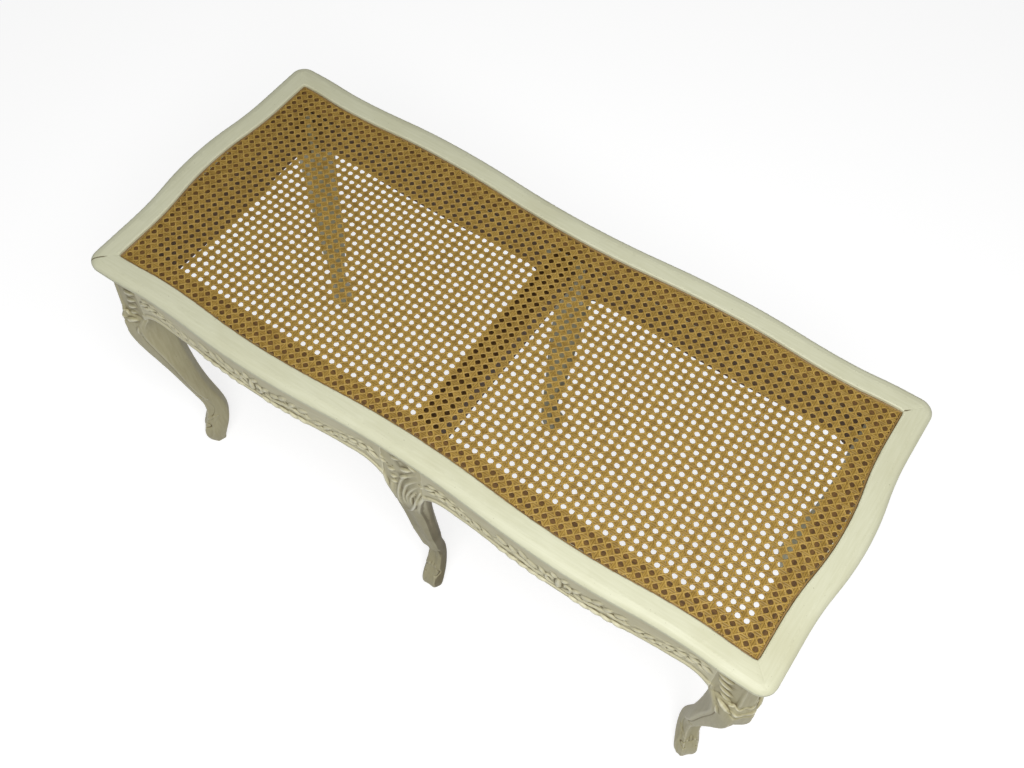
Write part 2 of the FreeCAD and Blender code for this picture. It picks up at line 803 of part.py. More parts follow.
def apron(label, turn, half_run, tongues, x, y):
    """An apron seen as the front: bowed face, beaded serpentine lower edge, a tenon
    at each end and the slots for the frame's tongues."""
    body = body_at(label, turn, x, y, frame_under)
    depth = S.apron_depth + S.apron_spandrel_drop - S.frame_thickness
    proud = S.apron_bead_proud
    reach = 2 * (S.apron_bow + proud)
    through = reach + S.rail_thickness + S.apron_bow
    spare = S.apron_bead
    blank = level_sketch(body, label + "_bead_plan", -depth, apron_plan(half_run, proud))
    pad(body, label + "_bead_blank", blank, depth)
    line, end_z = apron_line(half_run, S.apron_bead)
    line += [(half_run, end_z), (half_run + spare, end_z), (half_run + spare, spare),
             (-half_run - spare, spare), (-half_run - spare, end_z)]
    pocket(body, label + "_above_bead", upright_sketch(body, label + "_bead_line", reach, line), through)
    plan = level_sketch(body, label + "_board_plan", -depth, apron_plan(half_run, ZERO))
    pad(body, label + "_board", plan, depth)
    line, end_z = apron_line(half_run, ZERO)
    line += [(half_run, end_z), (half_run + spare, end_z), (half_run + spare, -depth - spare),
             (-half_run - spare, -depth - spare), (-half_run - spare, end_z)]
    pocket(body, label + "_below_edge", upright_sketch(body, label + "_edge_line", reach, line), through)
    low = S.tenon_set_back - S.tenon_thickness / 2
    high = S.tenon_set_back + S.tenon_thickness / 2
    inner = half_run - S.tenon_thickness
    outer = half_run + S.tenon_length
    foot = -S.tenon_shoulder - S.tenon_height
    right = [(inner, low), (outer, low), (outer, high), (inner, high)]
    left = [(-outer, low), (-inner, low), (-inner, high), (-outer, high)]
    for name, corners in (("_tenon_right", right), ("_tenon_left", left)):
        pad(body, label + name, level_sketch(body, label + name + "_plan", foot, corners), S.tenon_height)
    tongue_slots(body, label, ZERO, tongues, S.tongue_set_back, S.tongue_in_apron)
    return body


def centre_rail():
    """The plain rail under the cane that ties the two middle legs together."""
    body = body_at("centre_rail", 0, z=frame_under)
    half_run = knee_y - S.rail_thickness
    half = S.centre_rail_width / 2
    chamfer = S.centre_rail_chamfer
    section = [
        (-half, ZERO),
        (-half, chamfer - S.centre_rail_height),
        (chamfer - half, -S.centre_rail_height),
        (half - chamfer, -S.centre_rail_height),
        (half, chamfer - S.centre_rail_height),
        (half, ZERO),
    ]
    end = upright_sketch(body, "centre_rail_section", -half_run, section)
    pad(body, "centre_rail_bar", end, 2 * half_run)
    tongue = S.tenon_thickness / 2
    outer = half_run + S.tenon_length
    foot = -S.tenon_shoulder - S.tenon_height
    corners = [(-tongue, -outer), (tongue, -outer), (tongue, outer), (-tongue, outer)]
    plan = level_sketch(body, "centre_rail_tenon_plan", foot, corners)
    pad(body, "centre_rail_tenons", plan, S.tenon_height)
    return body


# The bench

SUB_PARTS = []


def build_frame():
    sides = (
        ("front", 0, LONG_SIDE, half_length, LONG_TONGUES, knee_y),
        ("right", 90, SHORT_SIDE, half_width, END_TONGUES, knee_x),
        ("back", 180, LONG_SIDE, half_length, LONG_TONGUES, knee_y),
        ("left", 270, SHORT_SIDE, half_width, END_TONGUES, knee_x),
    )
    for name, turn, side, half_run, tongues, knee_out in sides:
        SUB_PARTS.append(top_rail("top_rail_" + name, turn, side, half_run, tongues, knee_out))
        SUB_PARTS.append(seat_reed("seat_reed_" + name, turn, side, half_run))


def build_legs():
    corners = (
        ("leg_front_left", -45, -1, -1),
        ("leg_front_right", 45, 1, -1),
        ("leg_back_right", 135, 1, 1),
        ("leg_back_left", 225, -1, 1),
    )
    for label, turn, hand, face in corners:
        SUB_PARTS.append(corner_leg(label, turn, hand, face))
    SUB_PARTS.append(middle_leg("leg_front_middle", 0, -1))
    SUB_PARTS.append(middle_leg("leg_back_middle", 180, 1))


def build_aprons():
    for name, face, turn in (("front", -1, 0), ("back", 1, 180)):
        for end, hand in (("left", -1), ("right", 1)):
            label = "apron_%s_%s" % (name, end)
            y = face * knee_y
            SUB_PARTS.append(apron(label, turn, bay_half, BAY_TONGUES, hand * bay_middle, y))
    for name, hand, turn in (("left", -1, 270), ("right", 1, 90)):
        x = hand * knee_x
        SUB_PARTS.append(apron("apron_end_" + name, turn, end_half, END_TONGUES, x, ZERO))


def check(made):
    """Stop if anything in the document failed or a sub-part has no sound solid."""
    for thing in doc.Objects:
        if "Invalid" in thing.State or "Error" in thing.State:
            raise RuntimeError("%s did not build: %s" % (thing.Label, thing.State))
    for thing in made:
        if thing.Shape.isNull() or not thing.Shape.isValid() or not thing.Shape.Solids:
            raise RuntimeError("%s has no sound solid" % thing.Label)


build_frame()
SUB_PARTS.append(cane_panel())
build_legs()
build_aprons()
SUB_PARTS.append(centre_rail())
SUB_PARTS.append(frame_tongues())
SUB_PARTS.append(mitre_keys())
doc.recompute()
check(SUB_PARTS)

os.makedirs("parts", exist_ok=True)
for sub_part in SUB_PARTS:
    sub_part.Shape.exportStep("parts/%s.step" % sub_part.Label)
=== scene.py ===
"""A painted bench with a cane seat, carved legs and aprons, dressed over its solid model."""

import logging
import math
from dataclasses import dataclass, replace
from enum import Enum
from typing import Callable, Union

import bpy
import numpy as np
from mathutils import Euler, Matrix, Vector
from mathutils.bvhtree import BVHTree
from mathutils.kdtree import KDTree


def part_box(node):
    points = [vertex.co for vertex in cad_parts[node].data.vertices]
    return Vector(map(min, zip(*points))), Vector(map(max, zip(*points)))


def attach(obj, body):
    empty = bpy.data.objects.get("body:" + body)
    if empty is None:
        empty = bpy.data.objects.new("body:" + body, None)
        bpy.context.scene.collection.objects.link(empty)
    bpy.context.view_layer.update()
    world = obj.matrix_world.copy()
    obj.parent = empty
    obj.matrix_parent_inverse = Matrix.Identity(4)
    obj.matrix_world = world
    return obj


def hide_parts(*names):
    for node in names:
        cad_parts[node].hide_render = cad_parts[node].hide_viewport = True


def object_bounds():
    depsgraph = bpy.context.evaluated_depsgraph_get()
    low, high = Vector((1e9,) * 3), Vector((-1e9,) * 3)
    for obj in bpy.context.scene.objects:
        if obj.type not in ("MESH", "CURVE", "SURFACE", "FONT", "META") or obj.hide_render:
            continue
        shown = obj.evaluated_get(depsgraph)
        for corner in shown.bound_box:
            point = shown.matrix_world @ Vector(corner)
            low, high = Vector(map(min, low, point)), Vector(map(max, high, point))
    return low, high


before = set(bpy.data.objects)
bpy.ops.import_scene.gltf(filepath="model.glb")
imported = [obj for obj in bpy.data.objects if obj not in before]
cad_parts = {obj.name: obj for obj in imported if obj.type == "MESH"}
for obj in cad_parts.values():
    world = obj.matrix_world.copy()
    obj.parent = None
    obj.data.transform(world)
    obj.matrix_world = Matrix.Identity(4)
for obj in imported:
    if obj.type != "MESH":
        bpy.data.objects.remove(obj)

CAD_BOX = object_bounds()
MERGE_DISTANCE = 0.00002
MILLIMETRE = 0.001
SKIN_FLATNESS = 0.05
SMOOTH_ANGLE = 50.0
RELIEF_ROUNDS = 14
FULL_RELIEF = 0.0011
UP = Vector((0.0, 0.0, 1.0))

Colour = tuple[float, float, float, float]
Line = tuple[float, float, float, float]
Place = tuple[float, float, float]
Spot = tuple[float, float]
Piece = bpy.types.Object
Material = bpy.types.Material
Mesh = bpy.types.Mesh
Choice = Callable[[np.ndarray, np.ndarray], np.ndarray]
Value = Union["Signal", float]
Tone = Union["Signal", Colour]

log = logging.getLogger("painted_bench")


class Grain(Enum):
    """The way that brush strokes or fibres run: degrees about the upright, then the fineness on each axis."""

    ALONG = (0.0, (1.0, 14.0, 14.0))
    ACROSS = (90.0, (1.0, 14.0, 14.0))
    RISING = (-45.0, (1.0, 14.0, 14.0))
    FALLING = (45.0, (1.0, 14.0, 14.0))
    DOWN = (0.0, (9.0, 9.0, 1.0))
    NONE = (0.0, (1.0, 1.0, 1.0))


class Side(Enum):
    """A side of the bench, with the way out from it."""

    FRONT = (0.0, -1.0, 0.0)
    BACK = (0.0, 1.0, 0.0)
    LEFT = (-1.0, 0.0, 0.0)
    RIGHT = (1.0, 0.0, 0.0)

    @property
    def label(self) -> str:
        """The side's word in the names of solids and pieces."""
        return self.name.lower()

    @property
    def grain(self) -> Grain:
        """The way that wood runs on that side."""
        return Grain.ALONG if self.value[1] else Grain.ACROSS


# Materials


def shade(red: int, green: int, blue: int) -> Colour:
    """A colour seen as red, green and blue out of 255, in the linear values that sockets take.

    Args:
        red: the red part.
        green: the green part.
        blue: the blue part.

    Returns:
        The linear colour with an alpha of 1.
    """
    shares = [part / 255 for part in (red, green, blue)]
    linear = [share / 12.92 if share <= 0.04045 else ((share + 0.055) / 1.055) ** 2.4 for share in shares]
    return (*linear, 1.0)


class Signal:
    """One output socket of a material, with the arithmetic that adds Math nodes."""

    def __init__(self, graph: "Graph", socket: bpy.types.NodeSocket) -> None:
        """Wraps a socket of a graph."""
        self.graph = graph
        self.socket = socket

    def maths(self, operation: str, first: Value, second: Value = 0.0) -> "Signal":
        """The result of one more Math node."""
        return self.graph.signal("ShaderNodeMath", 0, {"operation": operation}, {0: first, 1: second})

    def __add__(self, other: Value) -> "Signal":
        """The sum of two values."""
        return self.maths("ADD", self, other)

    def __radd__(self, other: float) -> "Signal":
        """The sum of two values."""
        return self.maths("ADD", other, self)

    def __sub__(self, other: Value) -> "Signal":
        """This value less another."""
        return self.maths("SUBTRACT", self, other)

    def __rsub__(self, other: float) -> "Signal":
        """Another value less this one."""
        return self.maths("SUBTRACT", other, self)

    def __mul__(self, other: Value) -> "Signal":
        """The product of two values."""
        return self.maths("MULTIPLY", self, other)

    def __rmul__(self, other: float) -> "Signal":
        """The product of two values."""
        return self.maths("MULTIPLY", other, self)

    def size(self) -> "Signal":
        """This value without its sign."""
        return self.maths("ABSOLUTE", self)

    def most(self, other: Value) -> "Signal":
        """The larger of two values."""
        return self.maths("MAXIMUM", self, other)

    def rise(self, low: float, high: float) -> "Signal":
        """A smooth step from 0 at a low value to 1 at a high one."""
        sockets = {"Value": self, "From Min": low, "From Max": high}
        return self.graph.signal("ShaderNodeMapRange", 0, {"interpolation_type": "SMOOTHSTEP"}, sockets)


class Graph:
    """The nodes of one material."""

    MIX_FACTOR, MIX_FIRST, MIX_SECOND, MIX_RESULT = 0, 6, 7, 2

    def __init__(self, name: str) -> None:
        """Makes an empty material.

        Args:
            name: its name.
        """
        self.material = bpy.data.materials.new(name)
        self.material.use_nodes = True
        self.material.node_tree.nodes.clear()

    def node(self, kind: str, settings: dict | None = None, sockets: dict | None = None) -> bpy.types.Node:
        """Adds a node.

        Args:
            kind: Blender's name for the type of node.
            settings: its own settings.
            sockets: a value or a signal for each input, by name or number.

        Returns:
            The new node.
        """
        node = self.material.node_tree.nodes.new(kind)
        for name, value in (settings or {}).items():
            setattr(node, name, value)
        for name, value in (sockets or {}).items():
            if isinstance(value, Signal):
                self.material.node_tree.links.new(value.socket, node.inputs[name])
            else:
                node.inputs[name].default_value = value
        return node

    def signal(self, kind: str, output: str | int, settings: dict | None = None,
               sockets: dict | None = None) -> Signal:
        """One output, by name or number, of one more node."""
        return Signal(self, self.node(kind, settings, sockets).outputs[output])

    def place(self, grain: Grain = Grain.NONE) -> Signal:
        """The place on the piece, turned about the upright and then stretched.

        Args:
            grain: the way that the pattern runs.

        Returns:
            The coordinates.
        """
        turn, stretch = grain.value
        sockets = {"Vector": self.signal("ShaderNodeTexCoord", "Object"),
                   "Rotation": (0.0, 0.0, math.radians(turn))}
        turned = self.signal("ShaderNodeMapping", 0, {}, sockets)
        return self.signal("ShaderNodeMapping", 0, {}, {"Vector": turned, "Scale": stretch})

    def noise(self, scale: float, detail: float = 3.0, roughness: float = 0.55,
              grain: Grain = Grain.NONE) -> Signal:
        """Soft noise around one half, so fine per metre, with its finer layers and their strength."""
        sockets = {"Vector": self.place(grain), "Scale": scale, "Detail": detail, "Roughness": roughness}
        return self.signal("ShaderNodeTexNoise", 0, {}, sockets)

    def mix(self, factor: Value, first: Tone, second: Tone) -> Signal:
        """A colour between two, by the share of the second."""
        sockets = {self.MIX_FACTOR: factor, self.MIX_FIRST: first, self.MIX_SECOND: second}
        return self.signal("ShaderNodeMix", self.MIX_RESULT, {"data_type": "RGBA"}, sockets)

    def attribute(self, name: str) -> Signal:
        """A number kept on the piece's points under that name."""
        return self.signal("ShaderNodeAttribute", "Fac", {"attribute_name": name})

    def parts(self, place: Signal) -> tuple[Signal, Signal]:
        """The first two parts of coordinates."""
        node = self.node("ShaderNodeSeparateXYZ", {}, {0: place})
        return Signal(self, node.outputs[0]), Signal(self, node.outputs[1])

    def bump(self, height: Signal, depth: float, strength: float) -> Signal:
        """The surface's direction over heights of 0 to 1, which are so deep in metres."""
        sockets = {"Height": height, "Distance": depth, "Strength": strength}
        return self.signal("ShaderNodeBump", 0, {}, sockets)

    def surface(self, **sockets: Value | Colour) -> Material:
        """Ends the material in one shader.

        Args:
            sockets: the shader's inputs, with underscores for spaces.

        Returns:
            The finished material.
        """
        inputs = {name.replace("_", " "): value for name, value in sockets.items()}
        shader = self.signal("ShaderNodeBsdfPrincipled", 0, {}, inputs)
        self.node("ShaderNodeOutputMaterial", {}, {"Surface": shader})
        return self.material


@dataclass(frozen=True)
class Finish:
    """What each finish has: its material's name and the way that its grain runs."""

    name: str
    grain: Grain


@dataclass(frozen=True)
class Paint(Finish):
    """Old cream paint, brushed on, with a brown wash in the hollows that is partly real and partly painted
    shade, and paler rubbed ridges that are partly a painted highlight.
    """

    cream: Colour = shade(208, 208, 178)
    pale: Colour = shade(218, 218, 191)
    worn: Colour = shade(192, 189, 153)
    # The dark brown below serves real specks and cracks, and painted shade in the hollows of carving; the
    # rubbed colour is partly a painted highlight on ridges.
    wash_and_shade: Colour = shade(98, 86, 50)
    rubbed_and_highlight: Colour = shade(228, 224, 196)
    stroke_scale: float = 26.0
    patch_scale: float = 7.0
    speck_scale: float = 310.0
    pale_share: float = 0.7
    worn_share: float = 0.5
    speck_share: float = 0.35
    rubbed_and_highlight_share: float = 0.75
    wash_and_shade_share: float = 0.85
    crack_share: float = 0.9
    carved: bool = False
    crack: Line | None = None
    crack_grain: float = 160.0
    crack_stray: float = 0.0012
    crack_narrow: float = 0.0005
    crack_broad: float = 0.0012
    crack_start: Spot = (-0.001, 0.0005)
    crack_fade: float = 0.008

    def crack_line(self, graph: Graph) -> Signal:
        """A fine ragged line where the paint has split over a joint.

        Args:
            graph: the material's nodes.

        Returns:
            1 on the line and 0 away from it.
        """
        x0, y0, x1, y1 = self.crack
        length = math.hypot(x1 - x0, y1 - y0)
        way_x, way_y = (x1 - x0) / length, (y1 - y0) / length
        x, y = graph.parts(graph.place())
        along = (x - x0) * way_x + (y - y0) * way_y
        off = (y - y0) * way_x - (x - x0) * way_y + (graph.noise(self.crack_grain) - 0.5) * self.crack_stray
        inside = along.rise(*self.crack_start) * (1.0 - along.rise(length - self.crack_fade, length))
        return (1.0 - off.size().rise(self.crack_narrow, self.crack_broad)) * inside

    def material(self) -> Material:
        """Mixes the paint.

        Returns:
            The material.
        """
        graph = Graph(self.name)
        strokes = graph.noise(self.stroke_scale, 5.0, 0.6, self.grain)
        patches = graph.noise(self.patch_scale, 4.0)
        specks = graph.noise(self.speck_scale, 1.0).rise(0.74, 0.8)
        tone = graph.mix(strokes.rise(0.3, 0.7) * self.pale_share, self.cream, self.pale)
        tone = graph.mix(patches.rise(0.45, 0.8) * self.worn_share, tone, self.worn)
        tone = graph.mix(specks * self.speck_share, tone, self.wash_and_shade)
        roughness = 0.4 + patches * 0.16 + strokes * 0.06
        if self.carved:
            # Carving: the hollows take the brown wash, partly real and partly painted shade, and the ridges
            # take the paler rubbed colour, partly a painted highlight.
            hollow_wash_and_shade = (graph.attribute("hollow") * (0.6 + patches)).rise(0.06, 0.75)
            bright = graph.attribute("ridge").rise(0.2, 0.85)
            tone = graph.mix(bright * self.rubbed_and_highlight_share, tone, self.rubbed_and_highlight)
            tone = graph.mix(hollow_wash_and_shade * self.wash_and_shade_share, tone, self.wash_and_shade)
            roughness = roughness + hollow_wash_and_shade * 0.2 - bright * 0.14
        if self.crack:
            tone = graph.mix(self.crack_line(graph) * self.crack_share, tone, self.wash_and_shade)
        return graph.surface(Base_Color=tone, Roughness=roughness, Normal=graph.bump(strokes, 0.0002, 0.35))


@dataclass(frozen=True)
class Cane(Finish):
    """Strands of cane with their glossy skin, fine fibres, and painted shade darkening the edges of each flat
    strand.
    """

    honey: Colour = shade(164, 132, 60)
    amber: Colour = shade(114, 86, 28)
    straw: Colour = shade(196, 164, 88)
    fibre_scale: float = 60.0
    knot_scale: float = 120.0
    crown: float = 0.0006

    def material(self) -> Material:
        """Makes the cane, whose second UV coordinate runs from edge to edge of a strand.

        Returns:
            The material.
        """
        graph = Graph(self.name)
        fibres = graph.noise(self.fibre_scale, 4.0, grain=self.grain)
        knots = graph.noise(self.knot_scale, 2.0)
        edge = (graph.parts(graph.signal("ShaderNodeUVMap", 0))[1] - 0.5) * 2.0
        round_top = 1.0 - edge * edge
        tone = graph.mix(knots.rise(0.35, 0.7) * 0.55, self.honey, self.amber)
        tone = graph.mix(fibres.rise(0.5, 0.75) * 0.5, tone, self.straw)
        # Painted shade: the flat strand darkens towards its edges as if it were round.
        tone = graph.mix((1.0 - round_top).rise(0.4, 1.0) * 0.75, tone, self.amber)
        normal = graph.bump(round_top + fibres * 0.15, self.crown, 0.6)
        return graph.surface(Base_Color=tone, Roughness=0.36 + fibres * 0.2, Specular_IOR_Level=0.35,
                             Normal=normal)


@dataclass(frozen=True)
class Reed(Finish):
    """The round strip of reed that holds the cane in its groove."""

    tan: Colour = shade(160, 130, 78)
    dark: Colour = shade(118, 90, 46)
    fibre_scale: float = 90.0

    def material(self) -> Material:
        """Makes the reed.

        Returns:
            The material.
        """
        graph = Graph(self.name)
        fibres = graph.noise(self.fibre_scale, 4.0, grain=self.grain)
        tone = graph.mix(fibres.rise(0.35, 0.7), self.dark, self.tan)
        normal = graph.bump(fibres, 0.0002, 0.5)
        return graph.surface(Base_Color=tone, Roughness=0.42 + fibres * 0.2, Normal=normal)


@dataclass(frozen=True)
class DarkBareBeech(Finish):
    """Unpainted beech in a dark brown, on the parts and faces that no one painted; on the ledges and inner
    faces under the cane its darkness is partly painted shade.
    """

    light: Colour = shade(112, 80, 34)
    dark: Colour = shade(76, 52, 18)
    ring_scale: float = 16.0
    fleck_scale: float = 160.0

    def material(self) -> Material:
        """Makes the wood.

        Returns:
            The material.
        """
        graph = Graph(self.name)
        rings = graph.noise(self.ring_scale, 6.0, 0.65, self.grain)
        flecks = graph.noise(self.fleck_scale, 2.0, grain=self.grain)
        tone = graph.mix(rings.rise(0.35, 0.65), self.light, self.dark)
        tone = graph.mix(flecks.rise(0.62, 0.75) * 0.5, tone, self.dark)
        normal = graph.bump(rings, 0.0003, 0.5)
        return graph.surface(Base_Color=tone, Roughness=0.6 + flecks * 0.2, Normal=normal)


@dataclass(frozen=True)
class StudioFloor:
    """A white floor that keeps the bench's shadow and looks white to the camera."""

    name: str = "studio_floor"
    grey: Colour = (0.5, 0.5, 0.5, 1.0)
    white: Colour = (1.0, 1.0, 1.0, 1.0)
    lift: float = 0.72

    def material(self) -> Material:
        """Makes the floor.

        Returns:
            The material.
        """
        graph = Graph(self.name)
        seen = graph.signal("ShaderNodeLightPath", "Is Camera Ray")
        seen = seen.most(graph.signal("ShaderNodeLightPath", "Is Glossy Ray"))
        matt = graph.signal("ShaderNodeBsdfDiffuse", 0, {}, {"Color": self.grey})
        glow = graph.signal("ShaderNodeEmission", 0, {}, {"Color": self.white, "Strength": seen * self.lift})
        both = graph.signal("ShaderNodeAddShader", 0, {}, {0: matt, 1: glow})
        graph.node("ShaderNodeOutputMaterial", {}, {"Surface": both})
        return graph.material


# The legs' paints are the rail paint's cream made darker and browner: painted shade for the legs under the
# seat; the middle legs' wash is darker still.
LEG_PAINT = Paint("leg_paint", Grain.DOWN, cream=shade(176, 168, 130), pale=shade(192, 186, 150),
                  worn=shade(156, 147, 106), wash_and_shade=shade(92, 78, 44), carved=True)
MIDDLE_LEG_PAINT = Paint("middle_leg_paint", Grain.DOWN, cream=shade(190, 183, 146),
                         pale=shade(203, 197, 162), worn=shade(170, 162, 122), wash_and_shade=shade(82, 68, 36),
                         carved=True)
APRON_PAINT = Paint("apron_paint", Grain.ALONG, cream=shade(207, 201, 165), pale=shade(219, 214, 182),
                    worn=shade(186, 179, 140), carved=True)


# Modelling


def pick(piece: Piece) -> None:
    """Makes one piece the only selected and active one.

    Args:
        piece: the piece.
    """
    bpy.ops.object.select_all(action="DESELECT")
    piece.select_set(True)
    bpy.context.view_layer.objects.active = piece


def worked(piece: Piece, kind: str, **settings: float | str | bool | tuple) -> None:
    """Adds a modifier to a piece, sets it and applies it.

    Args:
        piece: the piece to work.
        kind: Blender's name for the type of modifier.
        settings: the modifier's own settings.
    """
    pick(piece)
    bpy.ops.object.modifier_add(type=kind)
    modifier = piece.modifiers[-1]
    for name, value in settings.items():
        setattr(modifier, name, value)
    bpy.ops.object.modifier_apply(modifier=modifier.name)


def repeated(piece: Piece, count: int, offset: Place) -> None:
    """Repeats a piece at even steps."""
    worked(piece, "ARRAY", count=count, use_relative_offset=False, use_constant_offset=True,
           constant_offset_displace=offset)


def fixed_in_place(piece: Piece) -> None:
    """Puts a piece's place, turn and size into its mesh."""
    pick(piece)
    bpy.ops.object.transform_apply(location=True, rotation=True, scale=True)


def smoothed(piece: Piece, degrees: float) -> None:
    """Shades a piece smooth across all edges flatter than an angle."""
    pick(piece)
    bpy.ops.object.shade_smooth_by_angle(angle=math.radians(degrees))


def finished(piece: Piece, material: Material, node: str) -> None:
    """Dresses a piece, ties it to the bench and reports it.

    Args:
        piece: the finished piece.
        material: its material.
        node: the solid that it stands for.
    """
    piece.data.materials.clear()
    piece.data.materials.append(material)
    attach(piece, "root")
    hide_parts(node)
    log.info("%s: %d faces", piece.name, len(piece.data.polygons))


def merged_copy(node: str, name: str, flatness: float = 1.0) -> Piece:
    """A copy of a solid with its loose triangles merged into clean faces.

    Args:
        node: the solid's name.
        name: the copy's name.
        flatness: the angle in degrees under which faces are merged.

    Returns:
        The copy.
    """
    piece = bpy.data.objects.new(name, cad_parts[node].data.copy())
    bpy.context.collection.objects.link(piece)
    pick(piece)
    bpy.ops.mesh.customdata_custom_splitnormals_clear()
    bpy.ops.object.mode_set(mode="EDIT")
    bpy.ops.mesh.select_all(action="SELECT")
    bpy.ops.mesh.remove_doubles(threshold=MERGE_DISTANCE)
    bpy.ops.mesh.dissolve_limited(angle_limit=math.radians(flatness))
    bpy.ops.object.mode_set(mode="OBJECT")
    return piece


def turned_copy(piece: Piece, name: str, move: Matrix) -> Piece:
    """A copy of a piece with its own mesh, set elsewhere.

    Args:
        piece: the piece to copy.
        name: the copy's name.
        move: where it goes.

    Returns:
        The copy.
    """
    pick(piece)
    bpy.ops.object.duplicate(linked=False)
    copy = bpy.context.object
    copy.name = name
    copy.matrix_world = move @ copy.matrix_world
    fixed_in_place(copy)
    return copy


def read(items: bpy.types.bpy_prop_collection, name: str) -> np.ndarray:
    """Three numbers of each item of a mesh, one row each.

    Args:
        items: the mesh's points, directions or faces.
        name: what is read.

    Returns:
        The rows.
    """
    rows = np.empty(len(items) * 3)
    items.foreach_get(name, rows)
    return rows.reshape(-1, 3)


def points_of(mesh: Mesh) -> np.ndarray:
    """The places of all points of a mesh, one row each."""
    return read(mesh.vertices, "co")


def normals_of(mesh: Mesh) -> np.ndarray:
    """The surface's direction at all points of a mesh, one row each."""
    return read(mesh.vertex_normals, "vector")


def put_points(mesh: Mesh, points: np.ndarray) -> None:
    """Moves all points of a mesh to new places."""
    mesh.vertices.foreach_set("co", points.ravel())
    mesh.update()


def averaged(mesh: Mesh, rounds: int) -> np.ndarray:
    """Where the points of a mesh come to lie when each is drawn to its neighbours.

    Args:
        mesh: the mesh, which stays as it is.
        rounds: how many times the points are drawn together.

    Returns:
        The new places, one row each.
    """
    points = points_of(mesh)
    count = len(points)
    ends = np.empty(len(mesh.edges) * 2, dtype=np.int64)
    mesh.edges.foreach_get("vertices", ends)
    starts, stops = ends[0::2], ends[1::2]
    neighbours = np.bincount(ends, minlength=count).astype(float)
    for _ in range(rounds):
        for axis in range(3):
            total = np.bincount(starts, weights=points[stops, axis], minlength=count)
            total += np.bincount(stops, weights=points[starts, axis], minlength=count)
            points[:, axis] = (points[:, axis] + total) / (neighbours + 1)
    return points


def skinned(node: str, name: str, grain_size: float, rounds: int = 1) -> Piece:
    """A copy of a solid with an even skin of small faces.

    Args:
        node: the solid's name.
        name: the copy's name.
        grain_size: the size of the faces.
        rounds: how far the new skin is averaged.

    Returns:
        The copy.
    """
    piece = merged_copy(node, name, SKIN_FLATNESS)
    worked(piece, "REMESH", mode="VOXEL", voxel_size=grain_size, use_smooth_shade=True)
    put_points(piece.data, averaged(piece.data, rounds))
    return piece


def mark_relief(piece: Piece) -> None:
    """Keeps on each point how far it lies in a hollow or stands on a ridge.

    Args:
        piece: the piece to mark.
    """
    # The paint reads these marks to darken hollows and lighten ridges, partly as painted shade and painted
    # highlight.
    mesh = piece.data
    depth = ((averaged(mesh, RELIEF_ROUNDS) - points_of(mesh)) * normals_of(mesh)).sum(axis=1) / FULL_RELIEF
    for name, values in (("hollow", depth), ("ridge", -depth)):
        attribute = mesh.attributes.new(name, "FLOAT", "POINT")
        attribute.data.foreach_set("value", np.clip(values, 0, 1).astype(np.float32))


def leave_bare(piece: Piece, material: Material, chosen: Choice) -> None:
    """Gives some faces of a piece a second material.

    Args:
        piece: the piece, already dressed in its first material.
        material: the material for the chosen faces.
        chosen: tells from the faces' middles and directions which they are.
    """
    faces = piece.data.polygons
    bare = chosen(read(faces, "center"), read(faces, "normal"))
    piece.data.materials.append(material)
    faces.foreach_set("material_index", bare.astype(np.int32))


# The cane seat


class SeatEdge:
    """The wavy line under the reed at which the cane ends, read from the solids."""

    WALL = 0.8
    PLACES = 200

    def __init__(self) -> None:
        """Reads the four strips of reed."""
        self.front, self.back = (self.middle_line(side, 0) for side in (Side.FRONT, Side.BACK))
        self.left, self.right = (self.middle_line(side, 1) for side in (Side.LEFT, Side.RIGHT))

    def middle_line(self, side: Side, run: int) -> tuple[np.ndarray, np.ndarray]:
        """The middle of a strip of reed.

        Args:
            side: the side that it is on.
            run: the axis that it runs along, 0 or 1.

        Returns:
            Places along the strip, and the strip's middle at each.
        """
        node = "seat_reed_" + side.label
        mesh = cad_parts[node].data
        walls = {True: set(), False: set()}
        for face in mesh.polygons:
            slope = face.normal[1 - run]
            if abs(slope) > self.WALL:
                for index in face.vertices:
                    spot = mesh.vertices[index].co
                    walls[slope > 0].add((round(spot[run], 6), spot[1 - run]))
        places = np.linspace(*[limit[run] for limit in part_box(node)], self.PLACES)
        lines = [np.interp(places, *np.array(sorted(wall)).T) for wall in walls.values()]
        return places, (lines[0] + lines[1]) / 2

    def holds(self, x: np.ndarray, y: np.ndarray) -> np.ndarray:
        """Whether each place on the seat lies inside the line."""
        inside = (y > np.interp(x, *self.front)) & (y < np.interp(x, *self.back))
        return inside & (x > np.interp(y, *self.left)) & (x < np.interp(y, *self.right))


